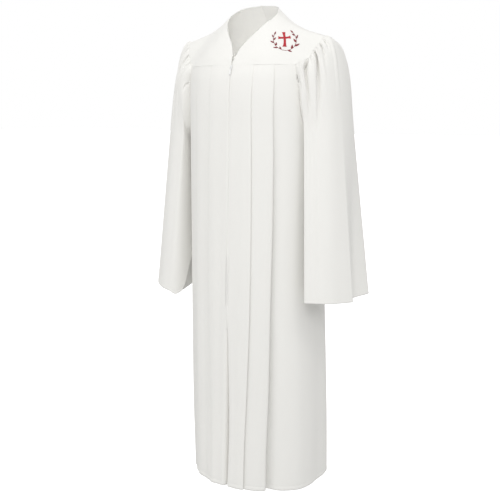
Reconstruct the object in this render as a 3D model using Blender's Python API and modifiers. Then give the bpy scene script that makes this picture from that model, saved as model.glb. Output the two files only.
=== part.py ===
"""A confirmation robe as it is worn: two front yokes, a back yoke, two pleated front panels, a gathered
back panel and two open sleeves, closed down the front by a zip with a slider and a pull tab.

Metres, +Z up. The robe faces -Y and the wearer's left is +X. The origin is on the wearer's middle line,
level with the place where the neck edge lies on the shoulders, which is what holds the robe up.
"Drop" is how far a point lies below the origin. "Turn" is its angle round the body in degrees, from 0 at
centre front through 90 at the wearer's left side to 180 at centre back. "Round" is the place round a
sleeve in turns, from 0 at the top of the shoulder through 0.25 in front and 0.5 under the arm.
"""

import bmesh
import bpy
import numpy as np
from mathutils import Matrix, Vector

# Cloth and seams
WALL = 0.0014
TAPE_WALL = 0.0010
SEAM_GAP = 0.0003

# Levels
FRONT_YOKE_DROP = 0.136
BACK_YOKE_DROP = 0.150
ZIP_END_DROP = 0.849
HEM_DROP = 1.303

# The body's cross-section by level: a superellipse with this half width, reach in front of and behind
# the origin, and squareness, where 2 is an ellipse.
BODY = {
    "drop": (0.130, 0.165, 0.200, 0.300, 0.500, 0.750, 0.950, 1.100, 1.220, 1.305),
    "half_width": (0.194, 0.1955, 0.196, 0.195, 0.193, 0.192, 0.194, 0.195, 0.195, 0.195),
    "front": (0.1165, 0.1272, 0.1315, 0.1350, 0.1398, 0.1455, 0.1480, 0.1500, 0.1550, 0.1600),
    "back": (0.116, 0.129, 0.136, 0.146, 0.152, 0.158, 0.168, 0.178, 0.188, 0.196),
    "squareness": (2.3, 2.3, 2.3, 2.3, 2.3, 2.3, 2.3, 2.3, 2.25, 2.2),
}

# The neck edge by way along it, from the foot of the V at 0, over the shoulder, to centre back at 1
NECK = {
    "way": (0.00, 0.14, 0.34, 0.52, 0.64, 1.00),
    "x": (0.0000, 0.0112, 0.0547, 0.0751, 0.0652, 0.0000),
    "y": (-0.1184, -0.0979, -0.0582, -0.0148, 0.0115, 0.0279),
    "z": (-0.1322, -0.0937, -0.0356, -0.0009, 0.0166, 0.0295),
}
# Where the yokes' outer edge turns its corners and crosses the shoulder, as ways along the neck edge
FRONT_CORNER_WAY = 0.42
SHOULDER_WAY = 0.58
BACK_CORNER_WAY = 0.72
# How far the yokes stand out, half way between the neck edge and the outer edge
YOKE_SWELL = {
    "way": (0.00, 0.20, 0.42, 0.58, 0.72, 0.86, 1.00),
    "out": (0.000, 0.003, 0.004, -0.006, 0.003, 0.011, 0.014),
}
CHEST_MIDDLE = (0.0, 0.01, -0.17)

# The armhole seam. Its upper part runs over the shoulder, between the two yokes' corners.
ARMHOLE_OVER = {
    "round": (-0.120, -0.080, -0.036, 0.000, 0.032, 0.074, 0.113),
    "x": (0.1970, 0.2080, 0.2150, 0.2172, 0.2133, 0.2033, 0.1940),
    "y": (0.0610, 0.0430, 0.0220, 0.0010, -0.0178, -0.0344, -0.0445),
    "z": (-0.1160, -0.0900, -0.0700, -0.0620, -0.0730, -0.0940, -0.1170),
}
# Its lower part lies on the body, from the front yoke's corner under the arm to the back yoke's.
ARMHOLE_UNDER = {
    "round": (0.172, 0.226, 0.283, 0.331, 0.377, 0.420, 0.462, 0.500,
              0.540, 0.582, 0.628, 0.676, 0.730, 0.780, 0.825),
    "turn": (67.5, 68.2, 68.6, 69.4, 71.2, 74.5, 81.0, 90.0,
             98.0, 104.0, 108.0, 110.5, 112.5, 113.8, 114.5),
    "drop": (FRONT_YOKE_DROP, 0.176, 0.215, 0.248, 0.279, 0.305, 0.326, 0.335,
             0.328, 0.308, 0.278, 0.243, 0.207, 0.177, BACK_YOKE_DROP),
}

# The knife pleats of each front: the turn of their outer folds, and the step between their layers
PLEATS = {
    "drop": (0.130, 0.220, 0.400, 0.600, 0.800, 1.020, 1.200, 1.305),
    "first": (30.0, 27.0, 26.4, 26.0, 24.6, 21.2, 18.4, 18.0),
    "second": (50.5, 47.6, 46.7, 45.6, 43.4, 40.8, 38.0, 37.4),
    "first_step": (0.0022, 0.0023, 0.0024, 0.0025, 0.0026, 0.0028, 0.0030, 0.0030),
    "second_step": (0.0022, 0.0025, 0.0030, 0.0036, 0.0042, 0.0050, 0.0056, 0.0060),
}
PLEAT_UNDER = 0.018

# The back's flutes by turn: how deep each valley is at the yoke, half way down and at the hem
FLUTES = {
    "turn": (128, 139, 150, 161, 173, 186, 198, 210, 221, 232),
    "half_width": (4.2, 3.8, 4.4, 4.0, 4.6, 4.2, 4.4, 3.8, 4.4, 4.2),
    "yoke": (0.0040, 0.0050, 0.0040, 0.0055, 0.0045, 0.0050, 0.0040, 0.0055, 0.0045, 0.0040),
    "middle": (0.0050, 0.0030, 0.0070, 0.0030, 0.0080, 0.0040, 0.0075, 0.0030, 0.0060, 0.0040),
    "hem": (0.0080, 0.0030, 0.0110, 0.0040, 0.0130, 0.0050, 0.0120, 0.0040, 0.0100, 0.0060),
}

# How the skirt leans to the wearer's left: each side's width as a share of the body's by level
LEAN = {
    "drop": (0.300, 0.500, 0.750, 0.950, 1.100, 1.220, 1.305),
    "left": (1.000, 1.008, 1.020, 1.026, 1.026, 1.026, 1.024),
    "right": (1.000, 0.998, 0.990, 0.982, 0.976, 0.962, 0.950),
}

# Each sleeve is drawn through two rings, at the upper arm and at the cuff: where their front and back
# folds lie, and how far the cloth between them bulges outwards and towards the body. The upper arm's
# ring slopes down towards the body.
RINGS = {
    "left": {
        "arm": {"front": (0.1970, -0.074), "back": (0.222, 0.108), "out": 0.066, "in": 0.008},
        "cuff": {"front": (0.2245, -0.109), "back": (0.258, 0.122), "out": 0.093, "in": 0.028},
    },
    "right": {
        "arm": {"front": (0.200, -0.076), "back": (0.216, 0.100), "out": 0.073, "in": 0.008},
        "cuff": {"front": (0.238, -0.112), "back": (0.252, 0.115), "out": 0.073, "in": 0.034},
    },
}
POINTED = 1.3  # 1 makes a ring's bulge half an ellipse, and 2 makes it a lens with sharp ends
ARM_DROP = (0.270, 0.395)
CUFF_DROP = {
    "round": (0.0, 0.09, 0.167, 0.25, 0.325, 0.382, 0.425, 0.454, 0.5, 0.625, 0.75, 0.875, 1.0),
    "left": (0.7575, 0.757, 0.757, 0.7573, 0.757, 0.756, 0.755, 0.754, 0.752, 0.750, 0.754, 0.7557, 0.7575),
    "right": (0.785, 0.750, 0.762, 0.770, 0.780, 0.786, 0.745, 0.707, 0.672, 0.668, 0.740, 0.803, 0.785),
}
# How the sleeve's cloth leaves the armhole: its gap there, the way it sets off and how far it goes that
# way before it falls, and how far above the upper arm's ring it is already falling straight
LEAVING = {
    "round": (0.00, 0.10, 0.20, 0.35, 0.50, 0.65, 0.80, 0.90, 1.00),
    "gap": (0.0006, 0.0008, 0.0014, 0.0020, 0.0022, 0.0020, 0.0014, 0.0008, 0.0006),
    "out": (0.041, 0.034, 0.030, 0.022, 0.010, 0.022, 0.048, 0.056, 0.041),
    "forward": (0.000, 0.010, 0.024, 0.030, 0.004, -0.024, -0.026, -0.020, 0.000),
    "up": (-0.002, -0.006, 0.000, -0.006, -0.010, -0.006, 0.014, 0.016, -0.002),
    "fall": (0.110, 0.100, 0.080, 0.060, 0.030, 0.060, 0.080, 0.100, 0.110),
}
HEAD_SHARE = 0.34  # the share of the sleeve's rows that lie above the upper arm's ring
# The sleeve's valleys (positive) and crests (negative): where they start and end round it, their half
# width in turns, and their depth at the armhole, at the upper arm and at the cuff
SLEEVE_FOLDS = {
    "start": (0.955, 0.905, 0.035, 0.075, 0.120, 0.170, 0.860, 0.810, 0.060, 0.400),
    "end": (0.950, 0.870, 0.040, 0.090, 0.150, 0.215, 0.820, 0.760, 0.065, 0.420),
    "half_width": (0.045, 0.022, 0.012, 0.014, 0.014, 0.018, 0.018, 0.020, 0.040, 0.060),
    "armhole": (0.003, 0.006, 0.006, 0.006, 0.006, 0.008, 0.006, 0.006, 0.000, 0.000),
    "upper_arm": (0.008, 0.002, 0.001, 0.002, 0.002, 0.006, 0.003, 0.003, -0.002, 0.003),
    "cuff": (0.026, 0.000, 0.000, 0.000, 0.000, 0.004, 0.000, 0.004, -0.009, 0.010),
}

# Rows and columns of the meshes
PANEL_ROWS = (0.0, 0.03, 0.065, 0.11, 0.17, 0.26, 0.37, 0.50, 0.63, 0.76, 0.88, 1.0)
SLEEVE_ROWS = (0.0, 0.06, 0.13, 0.21, 0.34, 0.48, 0.62, 0.76, 0.88, 1.0)
YOKE_ROWS = (0.0, 0.25, 0.5, 0.75, 1.0)
SLEEVE_COLUMNS = 44
BACK_COLUMNS = 26
SIDE_GAP_TURN = 0.08
SHOULDER_GAP_WAY = 0.002

# Zip
EDGE_X = 0.0018  # from the middle line to each front's folded edge, down to the zip's end
TAPE_X = (0.0015, 0.0130)
TAPE_SINK = 0.0028
TAPE_TOP_DROP = 0.1385
TAPE_PAST_END = 0.006

# Zip slider: two plates with the fronts' edges between them, a neck that joins them, and an arch over
# the pull tab's bar. "Across" is along X, "along" runs down the front and "out" away from the cloth.
SLIDER_DROP = 0.1425
PLATE = {"across": 0.0086, "along": 0.0105, "thick": 0.0012}
PLATE_CLEAR = 0.0004
NECK_BLOCK = {"across": 0.0022, "along": 0.0030}
ARCH = {"across": 0.0018, "along": 0.0054, "high": 0.0036, "bar": 0.0010}

# Pull tab: a flat bar with a hole near its top, whose end bar turns under the arch
TAB = {"across": 0.0050, "long": 0.0215, "thick": 0.0011, "end_bar": 0.0014, "corner": 0.0012}
TAB_HOLE = {"across": 0.0030, "long": 0.0044}
TAB_LIE = 3.0  # degrees by which the tab leans in towards the cloth

WHITE_CLOTH = ((0.86, 0.85, 0.83), 0.85, 0.0)
WHITE_TAPE = ((0.80, 0.80, 0.79), 0.75, 0.0)
WHITE_METAL = ((0.88, 0.88, 0.87), 0.35, 0.2)


def smooth(at, stops, values):
    """Cubic Hermite curve through a table's rows, whose slope at a row comes from the rows beside it."""
    stops = np.asarray(stops, float)
    values = np.asarray(values, float)
    slopes = np.gradient(values, stops)
    at = np.clip(at, stops[0], stops[-1])
    row = np.clip(np.searchsorted(stops, at, side="right") - 1, 0, len(stops) - 2)
    span = stops[row + 1] - stops[row]
    t = (at - stops[row]) / span
    start = (2 * t**3 - 3 * t**2 + 1) * values[row] + (t**3 - 2 * t**2 + t) * span * slopes[row]
    end = (3 * t**2 - 2 * t**3) * values[row + 1] + (t**3 - t**2) * span * slopes[row + 1]
    return start + end


def read(table, column, at):
    """The named column of a table at a value of its first column."""
    return smooth(at, next(iter(table.values())), table[column])


def body(turn, drop, sink=0.0):
    """Where a level ray at the turn meets the level's superellipse, then in along its normal by the sink."""
    turn, drop, sink = np.broadcast_arrays(*(np.asarray(v, float) for v in (turn, drop, sink)))
    half = read(BODY, "half_width", drop)
    front, back = read(BODY, "front", drop), read(BODY, "back", drop)
    square = read(BODY, "squareness", drop)
    deep = (front + back) / 2
    across, along = np.sin(np.radians(turn)), -np.cos(np.radians(turn))
    reach = (np.abs(across / half) ** square + np.abs(along / deep) ** square) ** (-1 / square)
    x, y = reach * across, reach * along
    normal_x = np.sign(x) * np.abs(x / half) ** (square - 1) / half
    normal_y = np.sign(y) * np.abs(y / deep) ** (square - 1) / deep
    inward = sink / np.hypot(normal_x, normal_y)
    return np.stack([x - inward * normal_x, (back - front) / 2 + y - inward * normal_y, -drop], axis=-1)


def armhole(round_):
    """The wearer's left armhole seam: a closed smooth curve through its upper and lower rows."""
    over = np.stack([ARMHOLE_OVER[axis] for axis in "xyz"], axis=-1)
    under = body(ARMHOLE_UNDER["turn"], ARMHOLE_UNDER["drop"])
    stops = np.concatenate([ARMHOLE_OVER["round"], ARMHOLE_UNDER["round"]])
    points = np.concatenate([over, under])
    stops = np.concatenate([stops[-3:] - 1, stops, stops[:3] + 1])
    points = np.concatenate([points[-3:], points, points[:3]])
    at = (np.asarray(round_, float) + 0.12) % 1.0 - 0.12
    return np.stack([smooth(at, stops, points[:, axis]) for axis in range(3)], axis=-1)


def yoke_edge(way):
    """The yokes' outer edge: along the front seam, up and over the armhole, and along the back seam."""
    way = np.asarray(way, float)
    first_turn, last_turn = ARMHOLE_UNDER["turn"][0], ARMHOLE_UNDER["turn"][-1]
    front_turn = first_turn * way / FRONT_CORNER_WAY
    back_share = (way - BACK_CORNER_WAY) / (1 - BACK_CORNER_WAY)
    back_turn = last_turn + (180 - last_turn) * back_share
    corners = (FRONT_CORNER_WAY, SHOULDER_WAY, BACK_CORNER_WAY)
    rounds = (ARMHOLE_UNDER["round"][0], 0.0, ARMHOLE_UNDER["round"][-1] - 1)
    over = armhole(np.interp(way, corners, rounds))
    front = body(front_turn, FRONT_YOKE_DROP)
    back = body(back_turn, BACK_YOKE_DROP)
    way = way[..., None]
    return np.where(way < FRONT_CORNER_WAY, front, np.where(way > BACK_CORNER_WAY, back, over))


def yoke(way, out):
    """A line from the neck edge (out 0) to the yokes' outer edge (out 1), swelled away from the chest's
    middle by a parabola, and opened at centre front by half the zip's width."""
    neck = np.stack([read(NECK, axis, way) for axis in "xyz"], axis=-1)
    share = np.asarray(out, float)[..., None]
    line = neck * (1 - share) + yoke_edge(way) * share
    outward = line - np.array(CHEST_MIDDLE)
    outward /= np.linalg.norm(outward, axis=-1, keepdims=True)
    swell = read(YOKE_SWELL, "out", way)[..., None] * 4 * share * (1 - share)
    points = line + outward * swell
    points[..., 0] += EDGE_X * np.clip(1 - way / FRONT_CORNER_WAY, 0, 1) ** 2
    return points


def degrees_of(run, turn, drop):
    """The turn that a distance along the body takes up there."""
    return run / np.linalg.norm(body(turn + 0.5, drop) - body(turn - 0.5, drop), axis=-1)


def strip(start, end, start_sink, shares, drop):
    """Columns at shares of the way across a strip, which rises from its start's sink to the surface."""
    return [body(start + (end - start) * share, drop, start_sink * (1 - share) ** 1.4) for share in shares]


def knife_pleat(edge, step, drop):
    """Columns round a pleat: past its outer fold, back under by PLEAT_UNDER, and out again below that."""
    half = step / 2
    folded = (
        (-half, 0.0), (0.0, 0.5), (-half, 1.0),
        (half - PLEAT_UNDER, 1.0), (-PLEAT_UNDER, 1.5), (half - PLEAT_UNDER, 2.0),
        (0.0, 2.0),
    )
    return [body(edge + degrees_of(run, edge, drop), drop, step * layer) for run, layer in folded]


def hanging(rounds, turns, count, seam_drop):
    """Columns that hang from the armhole, below the yoke's seam: they start on the armhole's seam and
    spread evenly towards the hem."""
    rows = np.array(PANEL_ROWS)
    columns = []
    for share in np.linspace(0, 1, count):
        start = armhole(rounds[0] + (rounds[1] - rounds[0]) * share)
        top = max(-start[2], seam_drop)
        drop = top + (HEM_DROP - top) * rows
        middle = (read(BODY, "back", top) - read(BODY, "front", top)) / 2
        start_turn = np.clip(np.degrees(np.arctan2(start[0], middle - start[1])), min(turns), max(turns))
        end_turn = turns[0] + (turns[1] - turns[0]) * share
        columns.append(body(start_turn + (end_turn - start_turn) * np.minimum(rows / 0.4, 1), drop))
    return columns


def front_panel():
    """The wearer's left front. Its strips lie like shingles: each rises from under the fold of the one
    nearer the middle to its own fold."""
    top = FRONT_YOKE_DROP + SEAM_GAP / 2
    drop = top + (HEM_DROP - top) * np.array(PANEL_ROWS)
    corner = ARMHOLE_UNDER["turn"][0]
    edges = [read(PLEATS, "first", drop), read(PLEATS, "second", drop)]
    steps = [read(PLEATS, "first_step", drop), read(PLEATS, "second_step", drop)]
    starts = [edge - degrees_of(step / 2, edge, drop) for edge, step in zip(edges, steps)]
    edge_x = np.where(drop < ZIP_END_DROP, EDGE_X, SEAM_GAP / 2)
    columns = strip(degrees_of(edge_x, 0.0, drop), starts[0], 0.0, (0.0, 0.35, 0.7), drop)
    columns += knife_pleat(edges[0], steps[0], drop)
    columns += strip(edges[0], starts[1], 2 * steps[0], (0.3, 0.65), drop)
    columns += knife_pleat(edges[1], steps[1], drop)
    columns += strip(edges[1], corner, 2 * steps[1], (0.25, 0.5, 0.75), drop)
    columns += hanging((ARMHOLE_UNDER["round"][0], 0.5), (corner, 90 - SIDE_GAP_TURN), 8, top)
    return np.stack(columns, axis=1)


def flutes(turn, drop):
    """How far the back's valleys sink: a bell across each, its depth set at the yoke, middle and hem."""
    sink = 0.0
    for row, middle in enumerate(FLUTES["turn"]):
        depths = [FLUTES[level][row] for level in ("yoke", "middle", "hem")]
        depth = smooth(drop, (BACK_YOKE_DROP, 0.7, HEM_DROP), depths)
        sink = sink + depth * np.exp(-(((turn - middle) / FLUTES["half_width"][row]) ** 2))
    return sink


def back_panel():
    """The back, from the left side seam under the arm, across the gathers and on to the right seam."""
    top = BACK_YOKE_DROP + SEAM_GAP / 2
    drop = top + (HEM_DROP - top) * np.array(PANEL_ROWS)
    corner = ARMHOLE_UNDER["turn"][-1]
    side = hanging((0.5, ARMHOLE_UNDER["round"][-1]), (90 + SIDE_GAP_TURN, corner), 8, top)
    across = []
    for turn in np.linspace(corner, 360 - corner, BACK_COLUMNS)[1:-1]:
        across.append(body(turn, drop, flutes(turn, drop)))
    other_side = [column * (-1, 1, 1) for column in reversed(side)]
    return np.stack(side + across + other_side, axis=1)


def ring(shape, round_):
    """The plan of a sleeve's ring: it starts at its outer side and runs through its front fold, the side
    next to the body and its back fold. The bulge falls off towards the folds as a power of the cosine."""
    angle = 2 * np.pi * round_
    front, back = np.array(shape["front"]), np.array(shape["back"])
    bulge = np.where(np.cos(angle) > 0, shape["out"], shape["in"])
    x, y = np.moveaxis((front + back) / 2 + (front - back) / 2 * np.sin(angle)[..., None], -1, 0)
    return x + bulge * np.sign(np.cos(angle)) * np.abs(np.cos(angle)) ** POINTED, y


def bare_sleeve(round_, along, hand):
    """A sleeve without folds. From the armhole each line sets off as LEAVING says and bends down to the
    upper arm's ring, as a cubic Bezier curve, and then it falls straight to the cuff."""
    rings = RINGS[hand]
    seam = armhole(round_)
    seam[..., 0] += read(LEAVING, "gap", round_ % 1.0)
    x, y = ring(rings["arm"], round_)
    inner_share = (1 - np.cos(2 * np.pi * round_)) / 2
    arm = np.stack([x, y, -ARM_DROP[0] - (ARM_DROP[1] - ARM_DROP[0]) * inner_share], axis=-1)
    x, y = ring(rings["cuff"], round_)
    cuff = np.stack([x, y, -read(CUFF_DROP, hand, round_ % 1.0)], axis=-1)
    run = cuff - arm
    falling = run / np.linalg.norm(run, axis=-1, keepdims=True)
    leaving = [read(LEAVING, column, round_ % 1.0) for column in ("out", "forward", "up")]
    second = seam + np.stack([leaving[0], -leaving[1], leaving[2]], axis=-1)
    third = arm - falling * read(LEAVING, "fall", round_ % 1.0)[..., None]
    t = np.clip(along / HEAD_SHARE, 0, 1)[..., None]
    head = (1 - t) ** 3 * seam + 3 * (1 - t) ** 2 * t * second + 3 * (1 - t) * t**2 * third + t**3 * arm
    return head + run * np.clip((along - HEAD_SHARE) / (1 - HEAD_SHARE), 0, 1)[..., None]


def sleeve(hand):
    """A sleeve's grid, its folds moved in or out along the normal of the bare sleeve."""
    round_, along = np.meshgrid(np.arange(SLEEVE_COLUMNS) / SLEEVE_COLUMNS, SLEEVE_ROWS)
    nudge = 0.004
    points = bare_sleeve(round_, along, hand)
    forwards = bare_sleeve(round_ + nudge, along, hand) - bare_sleeve(round_ - nudge, along, hand)
    downwards = bare_sleeve(round_, along + nudge, hand) - bare_sleeve(round_, along - nudge, hand)
    normal = np.cross(forwards, downwards)
    normal /= np.linalg.norm(normal, axis=-1, keepdims=True)
    sink = np.zeros_like(along)
    levels = (0.0, HEAD_SHARE, 1.0)
    for row, start in enumerate(SLEEVE_FOLDS["start"]):
        depths = [SLEEVE_FOLDS[level][row] for level in ("armhole", "upper_arm", "cuff")]
        middle = start + (SLEEVE_FOLDS["end"][row] - start) * along
        away = (round_ - middle + 0.5) % 1.0 - 0.5
        sink += smooth(along, levels, depths) * np.exp(-((away / SLEEVE_FOLDS["half_width"][row]) ** 2))
    return points - normal * sink[..., None]


def zip_tape():
    """The left tape, behind the front's edge, in rows that lie closer together near its curved top."""
    drop = TAPE_TOP_DROP + (ZIP_END_DROP + TAPE_PAST_END - TAPE_TOP_DROP) * np.linspace(0, 1, 20) ** 1.8
    return np.stack([body(degrees_of(x, 0.0, drop), drop, TAPE_SINK) for x in TAPE_X], axis=1)


def slider_frame():
    """The slider's middle on the cloth, as a matrix: X across, Y up along the front, and Z away from it."""
    above, middle, below = body(0.0, SLIDER_DROP + np.array((-0.004, 0.0, 0.004)))
    across = Vector((1, 0, 0))
    along = Vector(above - below).normalized()
    turned = Matrix((across, along, across.cross(along))).transposed().to_4x4()
    return Matrix.Translation(Vector(middle)) @ turned


def new_material(name, colour, roughness, metallic):
    material = bpy.data.materials.new(name)
    material.use_nodes = True
    shader = material.node_tree.nodes["Principled BSDF"]
    shader.inputs["Base Color"].default_value = (*colour, 1)
    shader.inputs["Roughness"].default_value = roughness
    shader.inputs["Metallic"].default_value = metallic
    return material


def add_object(name, data, material):
    piece = bpy.data.objects.new(name, data)
    data.materials.append(material)
    robe.objects.link(piece)
    return piece


def add_cloth(name, grid, material, wall=WALL, tube=False):
    """A wall of cloth: the grid's open surface, joined round if it is a tube, made solid half each way."""
    rows, columns = grid.shape[:2]
    index = np.arange(rows * columns).reshape(rows, columns)
    after = np.roll(index, -1, axis=1) if tube else index[:, 1:]
    here = index if tube else index[:, :-1]
    faces = np.stack([here[:-1], here[1:], after[1:], after[:-1]], axis=-1).reshape(-1, 4)
    mesh = bpy.data.meshes.new(name)
    mesh.from_pydata(grid.reshape(-1, 3).tolist(), [], faces.tolist())
    mesh.shade_smooth()
    piece = add_object(name, mesh, material)
    solid = piece.modifiers.new("Wall", "SOLIDIFY")
    solid.thickness = wall
    solid.offset = 0
    return piece


def add_block(name, frame, size, middle, collection):
    """A box of the given size across, along and out, about a point of the frame."""
    mesh = bpy.data.meshes.new(name)
    shape = bmesh.new()
    bmesh.ops.create_cube(shape, size=1, matrix=Matrix.Translation(middle) @ Matrix.Diagonal((*size, 1)))
    shape.to_mesh(mesh)
    shape.free()
    block = bpy.data.objects.new(name, mesh)
    block.matrix_world = frame
    collection.objects.link(block)
    return block


def add_slider(frame, material):
    """The front plate, with the neck, the back plate and the arch's three bars joined to it."""
    plate_size = (PLATE["across"], PLATE["along"], PLATE["thick"])
    front_out = WALL / 2 + PLATE_CLEAR + PLATE["thick"] / 2
    back_out = -TAPE_SINK - TAPE_WALL / 2 - PLATE_CLEAR - PLATE["thick"] / 2
    leg_middle = (ARCH["along"] - ARCH["bar"]) / 2
    leg_size = (ARCH["across"], ARCH["bar"], ARCH["high"])
    leg_out = front_out + ARCH["high"] / 2
    top_size = (ARCH["across"], ARCH["along"], ARCH["bar"])
    neck_size = (NECK_BLOCK["across"], NECK_BLOCK["along"], front_out - back_out)
    joined = (
        ("Slider neck", neck_size, (0, 0, (front_out + back_out) / 2)),
        ("Slider back plate", plate_size, (0, 0, back_out)),
        ("Slider arch upper leg", leg_size, (0, leg_middle, leg_out)),
        ("Slider arch lower leg", leg_size, (0, -leg_middle, leg_out)),
        ("Slider arch top", top_size, (0, 0, front_out + ARCH["high"] - ARCH["bar"] / 2)),
    )
    slider = add_block("zip_slider", frame, plate_size, (0, 0, front_out), robe)
    slider.data.materials.append(material)
    for name, size, middle in joined:
        block = add_block(name, frame, size, middle, hidden_shapes)
        block.hide_render = True
        block.display_type = "WIRE"
        join = slider.modifiers.new(name, "BOOLEAN")
        join.operation = "UNION"
        join.object = block
    return front_out + PLATE["thick"] / 2


def rounded_rectangle(curve, half_across, top, bottom, corner):
    """Adds a closed outline to a flat curve, each corner cut by one short edge."""
    outline = [
        (half_across, bottom + corner), (half_across, top - corner), (half_across - corner, top),
        (corner - half_across, top), (-half_across, top - corner), (-half_across, bottom + corner),
        (corner - half_across, bottom), (half_across - corner, bottom),
    ]
    spline = curve.splines.new("POLY")
    spline.points.add(len(outline) - 1)
    for point, (across, along) in zip(spline.points, outline):
        point.co = (across, along, 0, 1)
    spline.use_cyclic_u = True


def add_pull(frame, plate_top, material):
    """The pull tab. Its origin is on the middle of its end bar, which is the axis that it turns on."""
    curve = bpy.data.curves.new("zip_pull", "CURVE")
    curve.dimensions = "2D"
    curve.fill_mode = "BOTH"
    curve.extrude = TAB["thick"] / 2
    bar_half = TAB["end_bar"] / 2
    rounded_rectangle(curve, TAB["across"] / 2, bar_half, bar_half - TAB["long"], TAB["corner"] / 2)
    hole_top = -bar_half
    hole_bottom = hole_top - TAB_HOLE["long"]
    rounded_rectangle(curve, TAB_HOLE["across"] / 2, hole_top, hole_bottom, TAB["corner"] / 4)
    pull = add_object("zip_pull", curve, material)
    axis_out = plate_top + (ARCH["high"] - PLATE["thick"] / 2 - ARCH["bar"]) / 2
    lean = Matrix.Rotation(np.radians(TAB_LIE), 4, "X")
    pull.matrix_world = frame @ Matrix.Translation((0, 0, axis_out)) @ lean


def leaning(grid):
    """The grid with its left and right sides widened or narrowed as LEAN says."""
    x, drop = grid[..., 0], -grid[..., 2]
    share = np.where(x > 0, read(LEAN, "left", drop), read(LEAN, "right", drop))
    return np.stack([x * share, grid[..., 1], grid[..., 2]], axis=-1)


def mirrored(grid):
    """The other side's grid, its columns reversed so that its faces keep their outer side."""
    return grid[:, ::-1] * (-1, 1, 1)


for old in list(bpy.data.objects):
    bpy.data.objects.remove(old, do_unlink=True)

robe = bpy.data.collections.new("Confirmation robe")
hidden_shapes = bpy.data.collections.new("Shapes joined to the slider")
for collection in (robe, hidden_shapes):
    bpy.context.scene.collection.children.link(collection)
cloth = new_material("White robe cloth", *WHITE_CLOTH)
tape = new_material("White zip tape", *WHITE_TAPE)
metal = new_material("White zip metal", *WHITE_METAL)

front_way, out = np.meshgrid(np.linspace(0, SHOULDER_WAY - SHOULDER_GAP_WAY, 14), YOKE_ROWS)
front_yoke = yoke(front_way, out)
back_way, out = np.meshgrid(np.linspace(SHOULDER_WAY + SHOULDER_GAP_WAY, 1, 10), YOKE_ROWS)
half_back = yoke(back_way, out)
back_yoke = np.concatenate([half_back, mirrored(half_back)[:, 1:]], axis=1)
for yoke_grid in (front_yoke, back_yoke):
    yoke_grid[-1, :, 2] += SEAM_GAP

panel = front_panel()
add_cloth("front_yoke_left", front_yoke, cloth)
add_cloth("front_yoke_right", mirrored(front_yoke), cloth)
add_cloth("back_yoke", back_yoke, cloth)
add_cloth("front_panel_left", leaning(panel), cloth)
add_cloth("front_panel_right", leaning(mirrored(panel)), cloth)
add_cloth("back_panel", leaning(back_panel()), cloth)
add_cloth("sleeve_left", sleeve("left"), cloth, tube=True)
add_cloth("sleeve_right", mirrored(sleeve("right")), cloth, tube=True)
add_cloth("zip_tape_left", zip_tape(), tape, TAPE_WALL)
add_cloth("zip_tape_right", mirrored(zip_tape()), tape, TAPE_WALL)
slider_place = slider_frame()
plate_top = add_slider(slider_place, metal)
add_pull(slider_place, plate_top, metal)
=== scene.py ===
"""The looks of a confirmation robe: fine cloth shells with their pleats, gathers and creases, the hems'
stitches, the zip, the embroidery on the yoke, and the studio.

Metres, +Z up. The robe faces -Y and the wearer's left is +X. "Drop" is how far a point lies below the
origin. "Turn" is its angle round the body in degrees, from 0 at centre front through 90 at the wearer's
left side to 180 at centre back. "Round" is the place round a sleeve in turns, from 0 at the top of the
shoulder through 0.25 in front and 0.5 under the arm. "Along" runs down a sleeve from 0 to 1. "Way" runs
along the neck edge from 0 at the foot of its V to 1 at centre back, and "out" from 0 there to 1 at the
yokes' outer edge. "Sink" is how far a point lies inside the smooth form.
"""

import bpy
import numpy as np
from mathutils import Matrix, Vector


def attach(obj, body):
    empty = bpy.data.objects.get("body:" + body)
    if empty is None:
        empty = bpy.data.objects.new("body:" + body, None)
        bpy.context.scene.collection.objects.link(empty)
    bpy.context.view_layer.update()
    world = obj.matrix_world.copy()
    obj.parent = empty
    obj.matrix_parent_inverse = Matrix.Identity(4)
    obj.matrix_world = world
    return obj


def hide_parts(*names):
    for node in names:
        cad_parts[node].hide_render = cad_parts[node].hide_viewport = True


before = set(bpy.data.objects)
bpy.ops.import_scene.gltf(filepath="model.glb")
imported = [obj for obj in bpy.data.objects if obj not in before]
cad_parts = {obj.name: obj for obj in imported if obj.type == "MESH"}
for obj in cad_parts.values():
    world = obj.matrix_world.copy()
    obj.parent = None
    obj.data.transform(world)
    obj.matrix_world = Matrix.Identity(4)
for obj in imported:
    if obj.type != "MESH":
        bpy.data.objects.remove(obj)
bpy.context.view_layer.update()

# Thicknesses
CLOTH = 0.0009
YOKE_CLOTH = 0.0012
TAPE = 0.0007

# Levels and seams
SEAM_GAP = 0.0001
FRONT_YOKE_DROP = 0.136
BACK_YOKE_DROP = 0.150
ZIP_END_DROP = 0.849
HEM_DROP = 1.303
HEM_DEEP = 0.012
CUFF_HEM_DEEP = 0.009
# A turned-up hem: how proud it stands and over what length that fades, and the dent at its stitches
HEM_TURN = {"proud": 0.0004, "fade": 0.003, "dent": 0.0007, "dent_wide": 0.0014}
# The dip of the cloth at a seam
GROOVE = {"deep": 0.0004, "wide": 0.0016}
# How a cloth is tucked under its neighbour at a seam: how far on each row lies, and how far inside
TUCK = {"past": (0.0060, 0.0006), "sink": (0.0034, 0.0028)}
SLEEVE_TUCK = {"past": (0.0060, 0.0004), "sink": (0.0052, 0.0046)}
# Under the yokes' seam the panels stand proud by this little, which fades over this length, and the yokes'
# edge reaches over it, except within this much of the way from the shoulder
YOKE_LAP = {"proud": 0.0001, "fade": 0.004, "over": 0.0002, "shoulder": 0.16}

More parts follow.
